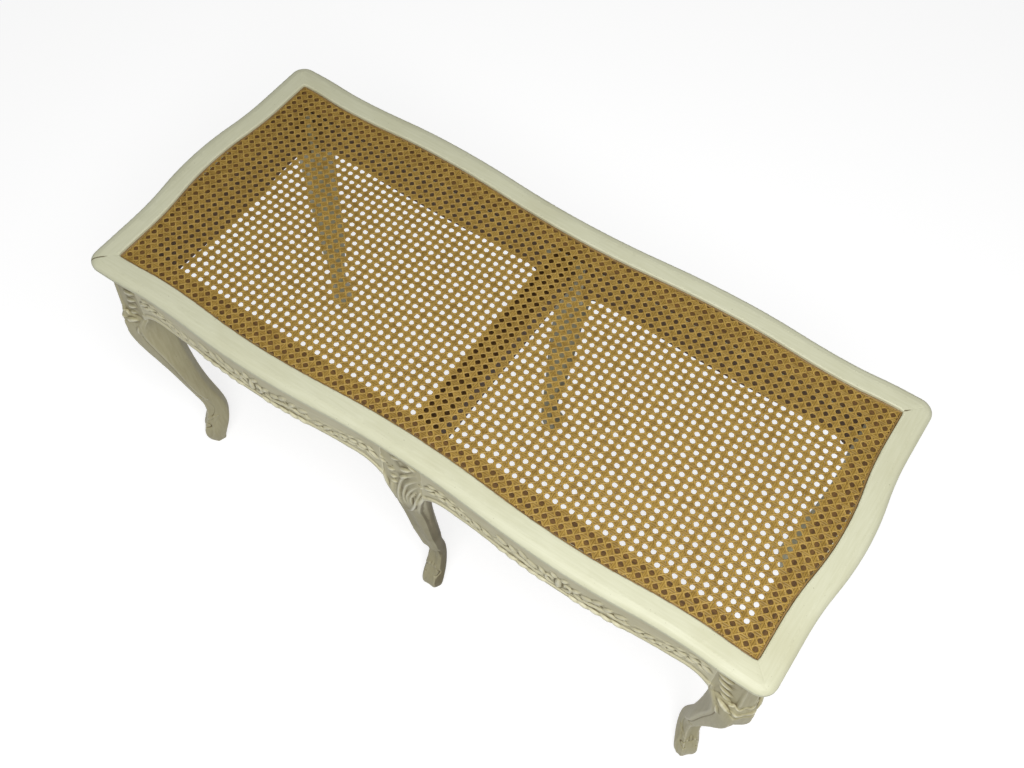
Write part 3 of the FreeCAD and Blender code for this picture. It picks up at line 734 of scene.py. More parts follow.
@dataclass
class CaneWebbing:
    """Cane woven six ways: pairs along and across, and single strands on both slants."""

    pitch: float = 0.01124
    pair_gap: float = 0.0025
    strand_width: float = 0.00245
    slant_width: float = 0.0018
    strand_thickness: float = 0.0004
    weave_lift: float = 0.00026
    slant_lift: float = 0.0004
    slant_rise: float = 0.00026
    end_drop: float = 0.0016
    stray: float = 0.0002
    single_stray: float = 0.4
    sway: float = 0.00022
    sway_shortest: float = 0.06
    sway_longest: float = 0.16
    steps_per_pitch: int = 4
    search_past: float = 1.02
    search_rounds: int = 12
    seed: int = 11

    def __post_init__(self) -> None:
        """Takes the seat's size from the solids."""
        self.edge = SeatEdge()
        self.chance = np.random.default_rng(self.seed)
        low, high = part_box("cane_panel")
        self.level = (low.z + high.z) / 2
        self.half_length = high.x
        self.half_width = high.y

    def build(self) -> None:
        """Weaves and dresses the four sets of strands."""
        for grain in (Grain.ALONG, Grain.ACROSS):
            piece = self.straight_set(grain)
            finished(piece, Cane(piece.name, grain).material(), "cane_panel")
        # The slanting strands on top are a lighter copy of the cane and the pairs beneath a darker one:
        # painted light on the top layer, painted shade on the lower.
        for grain in (Grain.RISING, Grain.FALLING):
            piece = self.slant_set(grain)
            straw = Cane(piece.name, grain, honey=shade(184, 152, 78), amber=shade(142, 110, 44))
            finished(piece, straw.material(), "cane_panel")

    def strand(self, grain: Grain, length: float, width: float, step: float) -> Piece:
        """A flat strand along X, cut into short steps and named for its set.

        Args:
            grain: the way that its set will run.
            length: its length.
            width: its width.
            step: the length of one step.

        Returns:
            The strand.
        """
        steps = round(length / step)
        bpy.ops.mesh.primitive_grid_add(x_subdivisions=steps, y_subdivisions=1, size=1.0,
                                        location=(0.0, 0.0, self.level))
        strand = bpy.context.object
        strand.name = "cane_" + grain.name.lower()
        strand.scale = (length, width, 1.0)
        fixed_in_place(strand)
        return strand

    def unevenness(self, rows: np.ndarray, partners: np.ndarray, run: np.ndarray) -> np.ndarray:
        """How far each point of a set strays sideways from an even weave.

        Args:
            rows: the number of each point's row.
            partners: 0 or 1 for the two strands of a pair.
            run: each point's place along its strand.

        Returns:
            The sideways distances.
        """
        rows = rows - rows.min()
        count = rows.max() + 1
        whole = self.chance.normal(0.0, self.stray, count)
        single = self.chance.normal(0.0, self.stray * self.single_stray, (count, 2))
        phase = self.chance.uniform(0.0, 2 * math.pi, count)
        length = self.chance.uniform(self.sway_shortest, self.sway_longest, count)
        swing = self.sway * np.sin(2 * math.pi * run / length[rows] + phase[rows])
        return whole[rows] + single[rows, partners] + swing

    def straight_set(self, grain: Grain) -> Piece:
        """All pairs of strands that run one way.

        Args:
            grain: along the seat, which goes over first, or across it.

        Returns:
            The set of strands.
        """
        half_run, half_spread, sign, direction = self.half_length, self.half_width, 1.0, (1.0, 0.0)
        if grain is Grain.ACROSS:
            half_run, half_spread, sign, direction = half_spread, half_run, -1.0, (0.0, 1.0)
        runs = math.ceil(half_run / self.pitch)
        rows = math.ceil(half_spread / self.pitch)
        step = self.pitch / self.steps_per_pitch
        piece = self.strand(grain, 2 * runs * self.pitch, self.strand_width, step)
        piece.location.y = -rows * self.pitch - self.pair_gap / 2
        fixed_in_place(piece)
        repeated(piece, 2, (0.0, self.pair_gap, 0.0))
        repeated(piece, 2 * rows + 1, (0.0, self.pitch, 0.0))
        points = points_of(piece.data)
        row = np.round(points[:, 1] / self.pitch).astype(int)
        partner = (points[:, 1] > row * self.pitch).astype(int)
        points[:, 2] += sign * self.weave_lift * np.cos(math.pi * (points[:, 0] / self.pitch + row))
        points[:, 1] += self.unevenness(row, partner, points[:, 0])
        put_points(piece.data, points)
        if grain is Grain.ACROSS:
            piece.rotation_euler = Euler((0.0, 0.0, math.pi / 2))
            fixed_in_place(piece)
        self.trim(piece, direction, step)
        return piece

    def slant_set(self, grain: Grain) -> Piece:
        """All single strands on one slant.

        Args:
            grain: rising, which goes over the pairs along the seat, or falling.

        Returns:
            The set of strands.
        """
        sign = 1.0 if grain is Grain.RISING else -1.0
        rows = math.ceil(self.half_width / self.pitch)
        columns = math.ceil(self.half_length / self.pitch) + rows
        run = 2 * rows * self.pitch * math.sqrt(2.0)
        step = self.pitch * math.sqrt(2.0) / self.steps_per_pitch
        piece = self.strand(grain, run, self.slant_width, step)
        piece.rotation_euler = Euler((0.0, 0.0, math.radians(45.0) * sign))
        fixed_in_place(piece)
        points = points_of(piece.data)
        wave = np.cos(2 * math.pi * points[:, 1] / self.pitch)
        points[:, 2] += sign * self.slant_lift * wave + self.slant_rise
        points[:, 0] -= (columns - 0.5) * self.pitch
        put_points(piece.data, points)
        repeated(piece, 2 * columns, (self.pitch, 0.0, 0.0))
        points = points_of(piece.data)
        row = np.round((points[:, 0] - sign * points[:, 1]) / self.pitch - 0.5).astype(int)
        points[:, 0] += self.unevenness(row, np.zeros_like(row), points[:, 1])
        put_points(piece.data, points)
        half = math.sqrt(0.5)
        self.trim(piece, (half, half * sign), step)
        return piece

    def trim(self, piece: Piece, direction: Spot, step: float) -> None:
        """Cuts strands at the seat's edge, tucks their ends into the groove and thickens them.

        Args:
            piece: the strands.
            direction: the way that they run.
            step: the length of one step.
        """
        mesh = piece.data
        points = points_of(mesh)
        way = np.array(direction) * step * self.search_past
        flat = points[:, :2]
        kept = self.edge.holds(*flat.T)
        ends = np.zeros(len(points), dtype=bool)
        for side in (way, -way):
            near = ~kept & ~ends & self.edge.holds(*(flat + side).T)
            low, high = np.zeros(near.sum()), np.ones(near.sum())
            for _ in range(self.search_rounds):
                middle = (low + high) / 2
                inside = self.edge.holds(*(flat[near] + side * middle[:, None]).T)
                high, low = np.where(inside, middle, high), np.where(inside, low, middle)
            points[near, :2] = flat[near] + side * high[:, None]
            ends |= near
        points[ends, 2] -= self.end_drop
        put_points(mesh, points)
        pick(piece)
        bpy.ops.object.mode_set(mode="EDIT")
        bpy.ops.mesh.select_all(action="DESELECT")
        bpy.ops.object.mode_set(mode="OBJECT")
        mesh.vertices.foreach_set("select", ~(kept | ends))
        bpy.ops.object.mode_set(mode="EDIT")
        bpy.ops.mesh.delete(type="VERT")
        bpy.ops.object.mode_set(mode="OBJECT")
        worked(piece, "SOLIDIFY", thickness=self.strand_thickness, offset=0.0)
        smoothed(piece, SMOOTH_ANGLE)


# The painted frame and the reed


class FrameOutline:
    """The wavy outer line of the seat frame, read from the solids."""

    SPACING = 0.001
    LEVEL = 0.2
    OUTWARD = 0.4
    TOP_BAND = 0.0005
    INNER_HALF_LENGTH = 0.48
    INNER_HALF_WIDTH = 0.198

    def __init__(self) -> None:
        """Reads the upper outer edges of the four rails."""
        spots = []
        for side in Side:
            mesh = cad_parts["top_rail_" + side.label].data
            for face in mesh.polygons:
                out = Vector((face.center.x / CAD_BOX[1].x, face.center.y / CAD_BOX[1].y, 0.0)).normalized()
                if abs(face.normal.z) > self.LEVEL or face.normal.dot(out) < self.OUTWARD:
                    continue
                corners = [mesh.vertices[index].co for index in face.vertices]
                top = [corner for corner in corners if self.on_edge(corner)]
                if len(top) == 2:
                    count = max(2, math.ceil((top[1] - top[0]).length / self.SPACING))
                    spots += [top[0].lerp(top[1], number / count) for number in range(count + 1)]
        self.tree = KDTree(len(spots))
        for number, spot in enumerate(spots):
            self.tree.insert((spot.x, spot.y, 0.0), number)
        self.tree.balance()

    def on_edge(self, corner: Vector) -> bool:
        """Whether a corner lies on the upper outer edge of the frame."""
        outer = abs(corner.x) > self.INNER_HALF_LENGTH or abs(corner.y) > self.INNER_HALF_WIDTH
        return outer and corner.z > CAD_BOX[1].z - self.TOP_BAND

    def distances(self, points: np.ndarray) -> np.ndarray:
        """How far each point lies inside the outer line, seen from above."""
        return np.array([self.tree.find((x, y, 0.0))[2] for x, y in points[:, :2]])


@dataclass
class SeatFrame:
    """The four moulded rails round the seat, rounded on the outer edge, with a ledge and inner wall of dark
    bare wood that is partly painted shade under the cane.
    """

    skin: float = 0.0011
    kept: float = 0.22
    nose_height: float = 0.0105
    quirk: float = 0.0092
    quirk_step: float = 0.0007
    quirk_run: float = 0.0026
    thumb: float = 0.0048
    thumb_power: float = 2.4
    mitre_offset: float = 0.279
    mitre_reach: float = 0.004
    mitre_lap: float = 0.0021
    lap_drop: float = 0.00006
    ledge_height: float = 0.4965
    wall_height: float = 0.4935
    upward: float = 0.5
    ledge_half: Spot = (0.469, 0.189)
    rim_half: Spot = (0.441, 0.162)
    left_split: Line = (-0.4895, -0.2105, -0.4720, -0.1930)
    right_split: Line = (0.4640, 0.1850, 0.4715, 0.1925)

    def build(self) -> None:
        """Moulds and paints each rail."""
        outline = FrameOutline()
        for side in Side:
            name, grain = side.label, side.grain
            rail = skinned("top_rail_" + name, "rail_" + name, self.skin)
            points = points_of(rail.data)
            self.mould(points, outline.distances(points))
            self.lap(points, 1.0 if grain is Grain.ALONG else -1.0)
            put_points(rail.data, points)
            worked(rail, "DECIMATE", ratio=self.kept)
            smoothed(rail, SMOOTH_ANGLE)
            split = self.left_split if side in (Side.FRONT, Side.LEFT) else self.right_split
            paint = Paint("rail_paint_" + name, grain, crack=split)
            finished(rail, paint.material(), "top_rail_" + name)
            # The ledge and its wall under the cane take dark bare wood: partly the real unpainted wood,
            # partly painted shade of the recess.
            leave_bare(rail, DarkBareBeech("ledge_wood_" + name, grain).material(), self.on_ledge)

    def mould(self, points: np.ndarray, inside: np.ndarray) -> None:
        """Rounds the outer upper edge into a thumb moulding behind a small step.

        Args:
            points: the rail's points, which are moved.
            inside: how far each lies inside the outer line.
        """
        share = np.clip(1.0 - inside / self.quirk, 0.0, 1.0)
        step = np.clip((self.quirk - inside) / self.quirk_run + 0.5, 0.0, 1.0) * self.quirk_step
        drop = step + self.thumb * share ** self.thumb_power
        points[:, 2] -= drop * np.clip((points[:, 2] - CAD_BOX[1].z) / self.nose_height + 1.0, 0.0, 1.0)

    def lap(self, points: np.ndarray, sign: float) -> None:
        """Lets the ends of a rail reach a little over the mitres, so that the paint runs on.

        Args:
            points: the rail's points, which are moved.
            sign: 1 for the long rails, -1 for the short ones.
        """
        past = sign * (np.abs(points[:, 0]) - np.abs(points[:, 1]) - self.mitre_offset) / math.sqrt(2.0)
        share = np.clip(past / self.mitre_reach + 1.0, 0.0, 1.0)
        move = share * self.mitre_lap * math.sqrt(0.5) * sign
        points[:, 0] += np.sign(points[:, 0]) * move
        points[:, 1] -= np.sign(points[:, 1]) * move
        points[:, 2] -= share * self.lap_drop * (sign > 0)

    def on_ledge(self, middles: np.ndarray, directions: np.ndarray) -> np.ndarray:
        """Chooses the faces of the ledge under the cane and of the wall below it.

        Args:
            middles: the middles of the faces.
            directions: the ways that the faces look.

        Returns:
            True for each face of the ledge and the wall.
        """
        away = np.abs(middles[:, :2])
        inner, rim = (np.all(away < half, axis=1) for half in (self.ledge_half, self.rim_half))
        ledge = (middles[:, 2] < self.ledge_height) & (rim | (directions[:, 2] > self.upward))
        return inner & (ledge | (middles[:, 2] < self.wall_height))


@dataclass
class SeatReed:
    """The four round strips pressed into the groove over the cane."""

    crown: float = 0.0013
    crown_steps: int = 3
    crown_angle: float = 60.0
    smooth_angle: float = 40.0

    def build(self) -> None:
        """Rounds and dresses each strip."""
        for side in Side:
            name = side.label
            strip = merged_copy("seat_reed_" + name, "reed_" + name)
            worked(strip, "BEVEL", width=self.crown, segments=self.crown_steps, limit_method="ANGLE",
                   angle_limit=math.radians(self.crown_angle))
            smoothed(strip, self.smooth_angle)
            finished(strip, Reed("reed_skin_" + name, side.grain).material(), "seat_reed_" + name)


# Carved pieces


class Gouge(Enum):
    """A kind of stroke: its widths from end to end, its lift against its height, and its profile's power."""

    LOBE = ((0.55, 1.0, 1.0, 0.4), 1.8, 0.6)
    RIB = ((1.0, 1.0), 1.0, 0.6)
    SCROLL = ((0.4, 1.0, 1.0, 0.6), 1.8, 0.6)
    GROOVE = ((1.0, 1.0), -1.0, 0.6)
    HOLLOW = ((0.6, 1.0, 1.0, 0.7), -1.0, 1.8)


LOBE, RIB, SCROLL, GROOVE, HOLLOW = Gouge
Cut = tuple[Gouge, list[Spot], float, float]
Cuts = tuple[Cut, ...]


def pin(u: float, z: float, half: float = 1.5, depth: float = 1.8) -> Cut:
    """A small round hole."""
    return GROOVE, [(u, z), (u + 0.4, z)], half, depth


def smooth_line(knots: list[Spot], step: float) -> np.ndarray:
    """A smooth line through some spots, cut into short steps.

    Args:
        knots: the spots in millimetres.
        step: the longest step in millimetres.

    Returns:
        The spots along the line, one row each.
    """
    line = np.array(knots, dtype=float)
    line = np.vstack((2 * line[0] - line[1], line, 2 * line[-1] - line[-2]))
    runs = []
    for before, first, last, after in zip(line, line[1:], line[2:], line[3:]):
        count = max(1, math.ceil(np.linalg.norm(last - first) / step))
        share = np.arange(count)[:, None] / count
        curve = 2 * first + (last - before) * share + (2 * before - 5 * first + 4 * last - after) * share ** 2
        runs.append((curve + (3 * first - before - 3 * last + after) * share ** 3) / 2)
    return np.vstack(runs + [line[-2:-1]])


class Ground:
    """The face of a solid, looked at squarely from outside, on which carving is laid."""

    LOOK_FROM = 0.3
    EDGE_FINENESS = 0.2

    def __init__(self, node: str, centre: Vector, facing: Vector) -> None:
        """Takes a solid to carve on.

        Args:
            node: the solid's name.
            centre: a place on the upright line through the face's middle.
            facing: the way that the face looks.
        """
        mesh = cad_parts[node].data
        corners = [vertex.co.copy() for vertex in mesh.vertices]
        self.tree = BVHTree.FromPolygons(corners, [tuple(face.vertices) for face in mesh.polygons])
        self.centre = Vector((centre.x, centre.y, 0.0))
        self.facing = facing.normalized()
        self.right = UP.cross(self.facing)

    def seen(self, u: float, z: float) -> Vector | None:
        """The place on the solid straight behind a spot of the face, or none."""
        start = self.centre + (self.right * u + UP * z) * MILLIMETRE + self.facing * self.LOOK_FROM
        return self.tree.ray_cast(start, -self.facing)[0]

    def touch(self, u: float, z: float) -> Vector:
        """The place on the solid behind a spot of the face, or else the nearest to it.

        Args:
            u: millimetres to the right of the middle.
            z: millimetres above the floor.

        Returns:
            The place.
        """
        place = self.seen(u, z)
        if place is None:
            place = self.tree.find_nearest(self.centre + (self.right * u + UP * z) * MILLIMETRE)[0]
        return place

    def lower_edge(self, u: float, low: float = 395.0, high: float = 440.0) -> float:
        """The height in millimetres of the solid's lower edge.

        Args:
            u: millimetres to the right of the middle.
            low: a height under the edge.
            high: a height above it.

        Returns:
            The edge's height.
        """
        while high - low > self.EDGE_FINENESS:
            middle = (low + high) / 2
            if self.seen(u, middle) is None:
                low = middle
            else:
                high = middle
        return high


@dataclass
class Stroke:
    """One stroke of the gouge: a line on the wood, raised or sunk along its middle."""

    line: np.ndarray
    halves: np.ndarray
    height: float
    steepness: float

    def effect(self, points: np.ndarray) -> tuple[np.ndarray, np.ndarray]:
        """How far the stroke moves the points of a surface.

        Args:
            points: the points, one row each.

        Returns:
            The numbers of the points near the stroke, and the distance for each.
        """
        reach = self.halves.max()
        low, high = self.line.min(axis=0) - reach, self.line.max(axis=0) + reach
        near = np.flatnonzero(np.all((points > low) & (points < high), axis=1))
        spots = points[near]
        best = np.zeros(len(near))
        for first, last, half_first, half_last in zip(self.line, self.line[1:], self.halves, self.halves[1:]):
            way = last - first
            share = np.clip((spots - first) @ way / max(way @ way, 1e-12), 0.0, 1.0)
            gap = np.linalg.norm(spots - first - share[:, None] * way, axis=1)
            half = half_first + (half_last - half_first) * share
            lift = np.clip(1.0 - (gap / half) ** 2, 0.0, 1.0) ** self.steepness * half / reach
            best = np.maximum(best, lift)
        return near, best * self.height


class Carver:
    """Lays strokes on the face of a solid and works them into its surface."""

    STEP = 2.5
    EASE_ROUNDS = 1

    def __init__(self, ground: Ground, from_edge: bool = False) -> None:
        """Starts on a face.

        Args:
            ground: the face.
            from_edge: whether heights are taken from the solid's wavy lower edge.
        """
        self.ground = ground
        self.from_edge = from_edge
        self.strokes: list[Stroke] = []

    def lay(self, cuts: Cuts | list[Cut], mirrored: bool = True) -> None:
        """Lays strokes.

        Args:
            cuts: for each, the kind, the spots that it passes, in millimetres to the right and up,
                half its width and its height or depth.
            mirrored: whether each is repeated on the other side of the middle.
        """
        for gouge, line, half, height in cuts:
            shares, lift, steepness = gouge.value
            spots = smooth_line(line, self.STEP)
            halves = [share * half for share in shares]
            places = np.linspace(0.0, 1.0, len(halves))
            widths = np.interp(np.linspace(0.0, 1.0, len(spots)), places, halves) * MILLIMETRE
            for side in (1.0, -1.0) if mirrored else (1.0,):
                points = []
                for u, z in spots:
                    base = self.ground.lower_edge(side * u) if self.from_edge else 0.0
                    points.append(self.ground.touch(side * u, base + z))
                self.strokes.append(Stroke(np.array(points), widths, height * lift * MILLIMETRE, steepness))

    def carved(self, piece: Piece, kept: float) -> None:
        """Works all strokes into a piece's surface, marks its relief and thins its faces.

        Args:
            piece: the piece, with an even skin of small faces.
            kept: the share of the faces that stays.
        """
        mesh = piece.data
        points = points_of(mesh)
        raised, sunk = np.zeros(len(points)), np.zeros(len(points))
        for stroke in self.strokes:
            near, lift = stroke.effect(points)
            raised[near] = np.maximum(raised[near], lift)
            sunk[near] = np.minimum(sunk[near], lift)
        points += normals_of(mesh) * (raised + sunk)[:, None]
        put_points(mesh, points)
        put_points(mesh, averaged(mesh, self.EASE_ROUNDS))
        mark_relief(piece)
        worked(piece, "DECIMATE", ratio=kept)
        log.info("%s: %d strokes", piece.name, len(self.strokes))


@dataclass
class CabrioleLeg:
    """What the corner and the middle legs share: the long shank, and the foot with a leaf on its toe."""

    skin: float = 0.00095
    skin_rounds: int = 2
    kept: float = 0.36
    ease_below: float = 0.385
    ease_reach: float = 0.03
    ease_rounds: int = 26
    sole_reach: float = 0.006
    toe: Cuts = (
        (LOBE, [(0, 56), (0, 16)], 4.6, 0.5),
        (LOBE, [(6, 52), (11, 24)], 3.2, 0.4),
        (LOBE, [(0, 72), (0, 60)], 2.4, 0.8),
        (LOBE, [(4, 69), (8, 60)], 2.2, 0.8),
        (GROOVE, [(7, 63), (12, 58), (13.5, 51), (11, 46), (8, 47)], 1.5, 1.7),
    )

    def eased(self, node: str, name: str) -> Piece:
        """A leg with a fine skin and a smooth shank, with its sole still flat.

        Args:
            node: the solid's name.
            name: the piece's name.

        Returns:
            The leg, ready for carving.
        """
        leg = skinned(node, name, self.skin, self.skin_rounds)
        points = points_of(leg.data)
        heights = points[:, 2]
        share = np.clip((self.ease_below - heights) / self.ease_reach, 0, 1)
        share *= np.clip(heights / self.sole_reach, 0, 1)
        points += (averaged(leg.data, self.ease_rounds) - points) * share[:, None]
        points[:, 2] = np.maximum(points[:, 2], 0.0)
        put_points(leg.data, points)
        return leg


@dataclass
class CornerLegs(CabrioleLeg):
    """The four legs at the corners: leaves down the knee, a folded band, and a beaded, hollow shank."""

    corner: Place = (-0.484, -0.203, 0.0)
    leaves: Cuts = (
        (LOBE, [(0, 476), (0, 452)], 4.0, 2.0),
        (LOBE, [(22, 468), (10, 474)], 3.2, 1.8),
        (LOBE, [(33, 454), (20, 448)], 3.4, 2.0),
        (LOBE, [(31, 438), (19, 428)], 3.2, 1.9),
        (LOBE, [(28, 420), (16, 410)], 3.2, 1.8),
        (LOBE, [(25, 403), (15.5, 395)], 2.8, 1.6),
        (LOBE, [(26, 388), (16, 379)], 4.0, 2.2),
        (LOBE, [(27, 371), (24, 352)], 2.6, 1.5),
    )
    knee_band: Cuts = (
        (RIB, [(8, 462), (8, 404)], 1.2, 0.8),
        (RIB, [(17, 391), (12, 394), (6, 391), (0, 395)], 1.6, 1.4),
        (SCROLL, [(16, 384), (8, 380), (0, 379)], 2.7, 1.0),
        (GROOVE, [(16, 375), (8, 371), (0, 370)], 1.8, 1.2),
    )
    shank: Cuts = (
        (RIB, [(34, 408), (33, 396), (31, 384), (28.6, 368), (27, 345), (22.6, 260), (17.2, 155), (13, 75),
               (15, 50), (16.5, 32), (14, 14)], 2.8, 1.2),
        (GROOVE, [(24.6, 345), (20.2, 260), (15.0, 155), (11.2, 75)], 1.3, 0.9),
        (RIB, [(13.6, 350), (12.4, 260), (10.9, 155), (9.7, 75), (10.6, 48), (11.2, 32)], 1.8, 1.0),
        (HOLLOW, [(0, 362), (0, 260), (0, 155), (0, 62)], 9.0, 1.7),
    )

    def build(self) -> None:
        """Carves one leg and copies it to the other corners."""
        corner = Vector(self.corner)
        leg = self.eased("leg_front_left", "leg_corner_front_left")
        carver = Carver(Ground("leg_front_left", corner, Vector((-1.0, -1.0, 0.0))))
        carver.lay(self.leaves + self.knee_band + self.shank + self.toe)
        carver.carved(leg, self.kept)
        x, y = corner.xy
        legs = {"front_left": leg}
        for place, turn, spot in (("front_right", 90.0, (-x, y, 0.0)), ("back_right", 180.0, (-x, -y, 0.0)),
                                  ("back_left", 270.0, (x, -y, 0.0))):
            move = Matrix.Translation(spot) @ Matrix.Rotation(math.radians(turn), 4, "Z")
            legs[place] = turned_copy(leg, "leg_corner_" + place, move @ Matrix.Translation(-corner))
        for place, piece in legs.items():
            finished(piece, LEG_PAINT.material(), "leg_" + place)


@dataclass
class MiddleLegs(CabrioleLeg):
    """The two legs at the middle of the long sides, with a leaf that turns in a whorl on the knee."""

    leaves: Cuts = (
        (LOBE, [(0, 450), (16, 462)], 3.8, 2.0),
        (LOBE, [(-2, 425), (9, 440)], 3.2, 1.8),
        (LOBE, [(-21, 430), (-10, 436)], 2.6, 1.6),
        (LOBE, [(-18, 414), (-8, 419)], 2.4, 1.5),
        (LOBE, [(-19, 400), (-8, 404)], 2.4, 1.5),
        (LOBE, [(-39, 458), (-26, 449)], 3.0, 1.6),
        (LOBE, [(-36, 446), (-24, 440)], 2.6, 1.5),
        (LOBE, [(37, 458), (29, 448)], 3.0, 1.6),
        (LOBE, [(36, 440), (28, 428)], 2.6, 1.5),
        (LOBE, [(0, 474), (-14, 466)], 2.8, 1.5),
        (LOBE, [(12, 474), (24, 468)], 2.8, 1.5),
    )
    whorl: Cuts = (
        (SCROLL, [(26, 458), (12, 442), (1, 424), (-5, 404), (-8, 380), (-8, 354), (-4, 336)], 1.9, 1.2),
        (SCROLL, [(28, 447), (16, 430), (6, 412), (1, 392), (-1, 370), (1, 350)], 1.7, 1.1),
        (SCROLL, [(28, 434), (18, 416), (10, 398), (5, 380), (5, 362)], 1.6, 1.0),
        (SCROLL, [(20, 406), (14, 392), (11, 378), (11, 366)], 1.5, 0.9),
        (SCROLL, [(-4, 330), (4, 334), (11, 348), (17, 368), (21, 388), (27, 414)], 2.4, 1.3),
        (HOLLOW, [(14, 388), (14, 370)], 3.0, 1.4),
        pin(-14, 442), pin(-12, 409), pin(18, 400), pin(-22, 440), pin(26, 436),
    )
    shank: Cuts = (
        (RIB, [(18, 352), (17, 253), (15.5, 168), (11.5, 88), (13, 56)], 2.6, 1.2),
        (RIB, [(-18, 392), (-20, 352), (-18, 253), (-15.5, 168), (-11.5, 88), (-13, 56)], 2.6, 1.2),
        (RIB, [(-38, 424), (-33, 410), (-27, 390), (-22, 366), (-19, 340)], 3.4, 2.6),
        (RIB, [(38, 424), (33, 410), (27, 390), (22, 366), (18, 340)], 3.4, 2.6),
        (HOLLOW, [(-5, 320), (-4, 260), (-2, 168), (0, 70)], 9.5, 1.9),
        (RIB, [(8, 318), (7, 240), (6, 160), (4, 92)], 1.4, 0.8),
        (LOBE, [(-17, 289), (-17, 279)], 2.4, 0.9),
        (LOBE, [(-16, 209), (-16, 199)], 2.4, 0.9),
        (LOBE, [(-10, 89), (-10, 79)], 2.4, 0.9),
    )
    face: float = -0.19
    ankle_fill: float = 0.0082
    ankle_back: float = -0.142
    ankle_depth: float = 0.022
    ankle_rounds: int = 5
    swell_low: float = 0.04
    swell_high: float = 0.19
    # Painted shade: the shank under the seat, and its flat flanks more, take more of the dark hollow colour.
    shank_shade: float = 0.3
    flank_shade: float = 0.52
    flank_look: float = 0.6
    flank_fade: float = 0.2
    knee_foot: float = 0.37
    flank_top: float = 0.42

    def build(self) -> None:
        """Carves the front leg and copies it to the back."""
        leg = self.eased("leg_front_middle", "leg_middle_front")
        carver = Carver(Ground("leg_front_middle", Vector((0.0, self.face, 0.0)), Vector(Side.FRONT.value)))
        carver.lay(self.leaves + self.whorl + self.shank, mirrored=False)
        carver.lay(self.toe)
        carver.carved(leg, self.kept)
        self.fill_ankle(leg)
        self.paint_flank_shade(leg)
        back = turned_copy(leg, "leg_middle_back", Matrix.Rotation(math.pi, 4, "Z"))
        for piece, node in ((leg, "leg_front_middle"), (back, "leg_back_middle")):
            finished(piece, MIDDLE_LEG_PAINT.material(), node)

    def fill_ankle(self, leg: Piece) -> None:
        """Brings the front of the ankle forward, so that the shank runs straight down to it.

        Args:
            leg: the leg, which is changed.
        """
        points = points_of(leg.data)
        share = np.clip((self.ankle_back - points[:, 1]) / self.ankle_depth, 0.0, 1.0)
        swell = np.clip((points[:, 2] - self.swell_low) / (self.swell_high - self.swell_low), 0.0, 1.0)
        points[:, 1] -= self.ankle_fill * share * np.sin(math.pi * swell) ** 2
        put_points(leg.data, points)
        low = np.clip((self.swell_high - points[:, 2]) / self.ease_reach, 0.0, 1.0)
        low *= np.clip(points[:, 2] / self.swell_low - 1.0, 0.0, 1.0)
        put_points(leg.data, points + (averaged(leg.data, self.ankle_rounds) - points) * low[:, None])

    def paint_flank_shade(self, leg: Piece) -> None:
        """Paints shade on the shank, most of all on its flat flanks, by raising the mark of hollows that
        darkens the paint.

        Args:
            leg: the leg, whose mark of hollows is changed.
        """
        marks = leg.data.attributes["hollow"].data
        hollow = np.empty(len(marks))
        marks.foreach_get("value", hollow)
        heights = points_of(leg.data)[:, 2]
        shank = np.clip((self.knee_foot - heights) / self.ease_reach, 0.0, 1.0) * self.shank_shade
        flank = np.clip((np.abs(normals_of(leg.data)[:, 0]) - self.flank_look) / self.flank_fade, 0.0, 1.0)
        flank *= np.clip((self.flank_top - heights) / self.ease_reach, 0.0, 1.0) * self.flank_shade
        marks.foreach_set("value", np.maximum(hollow, np.maximum(shank, flank)))


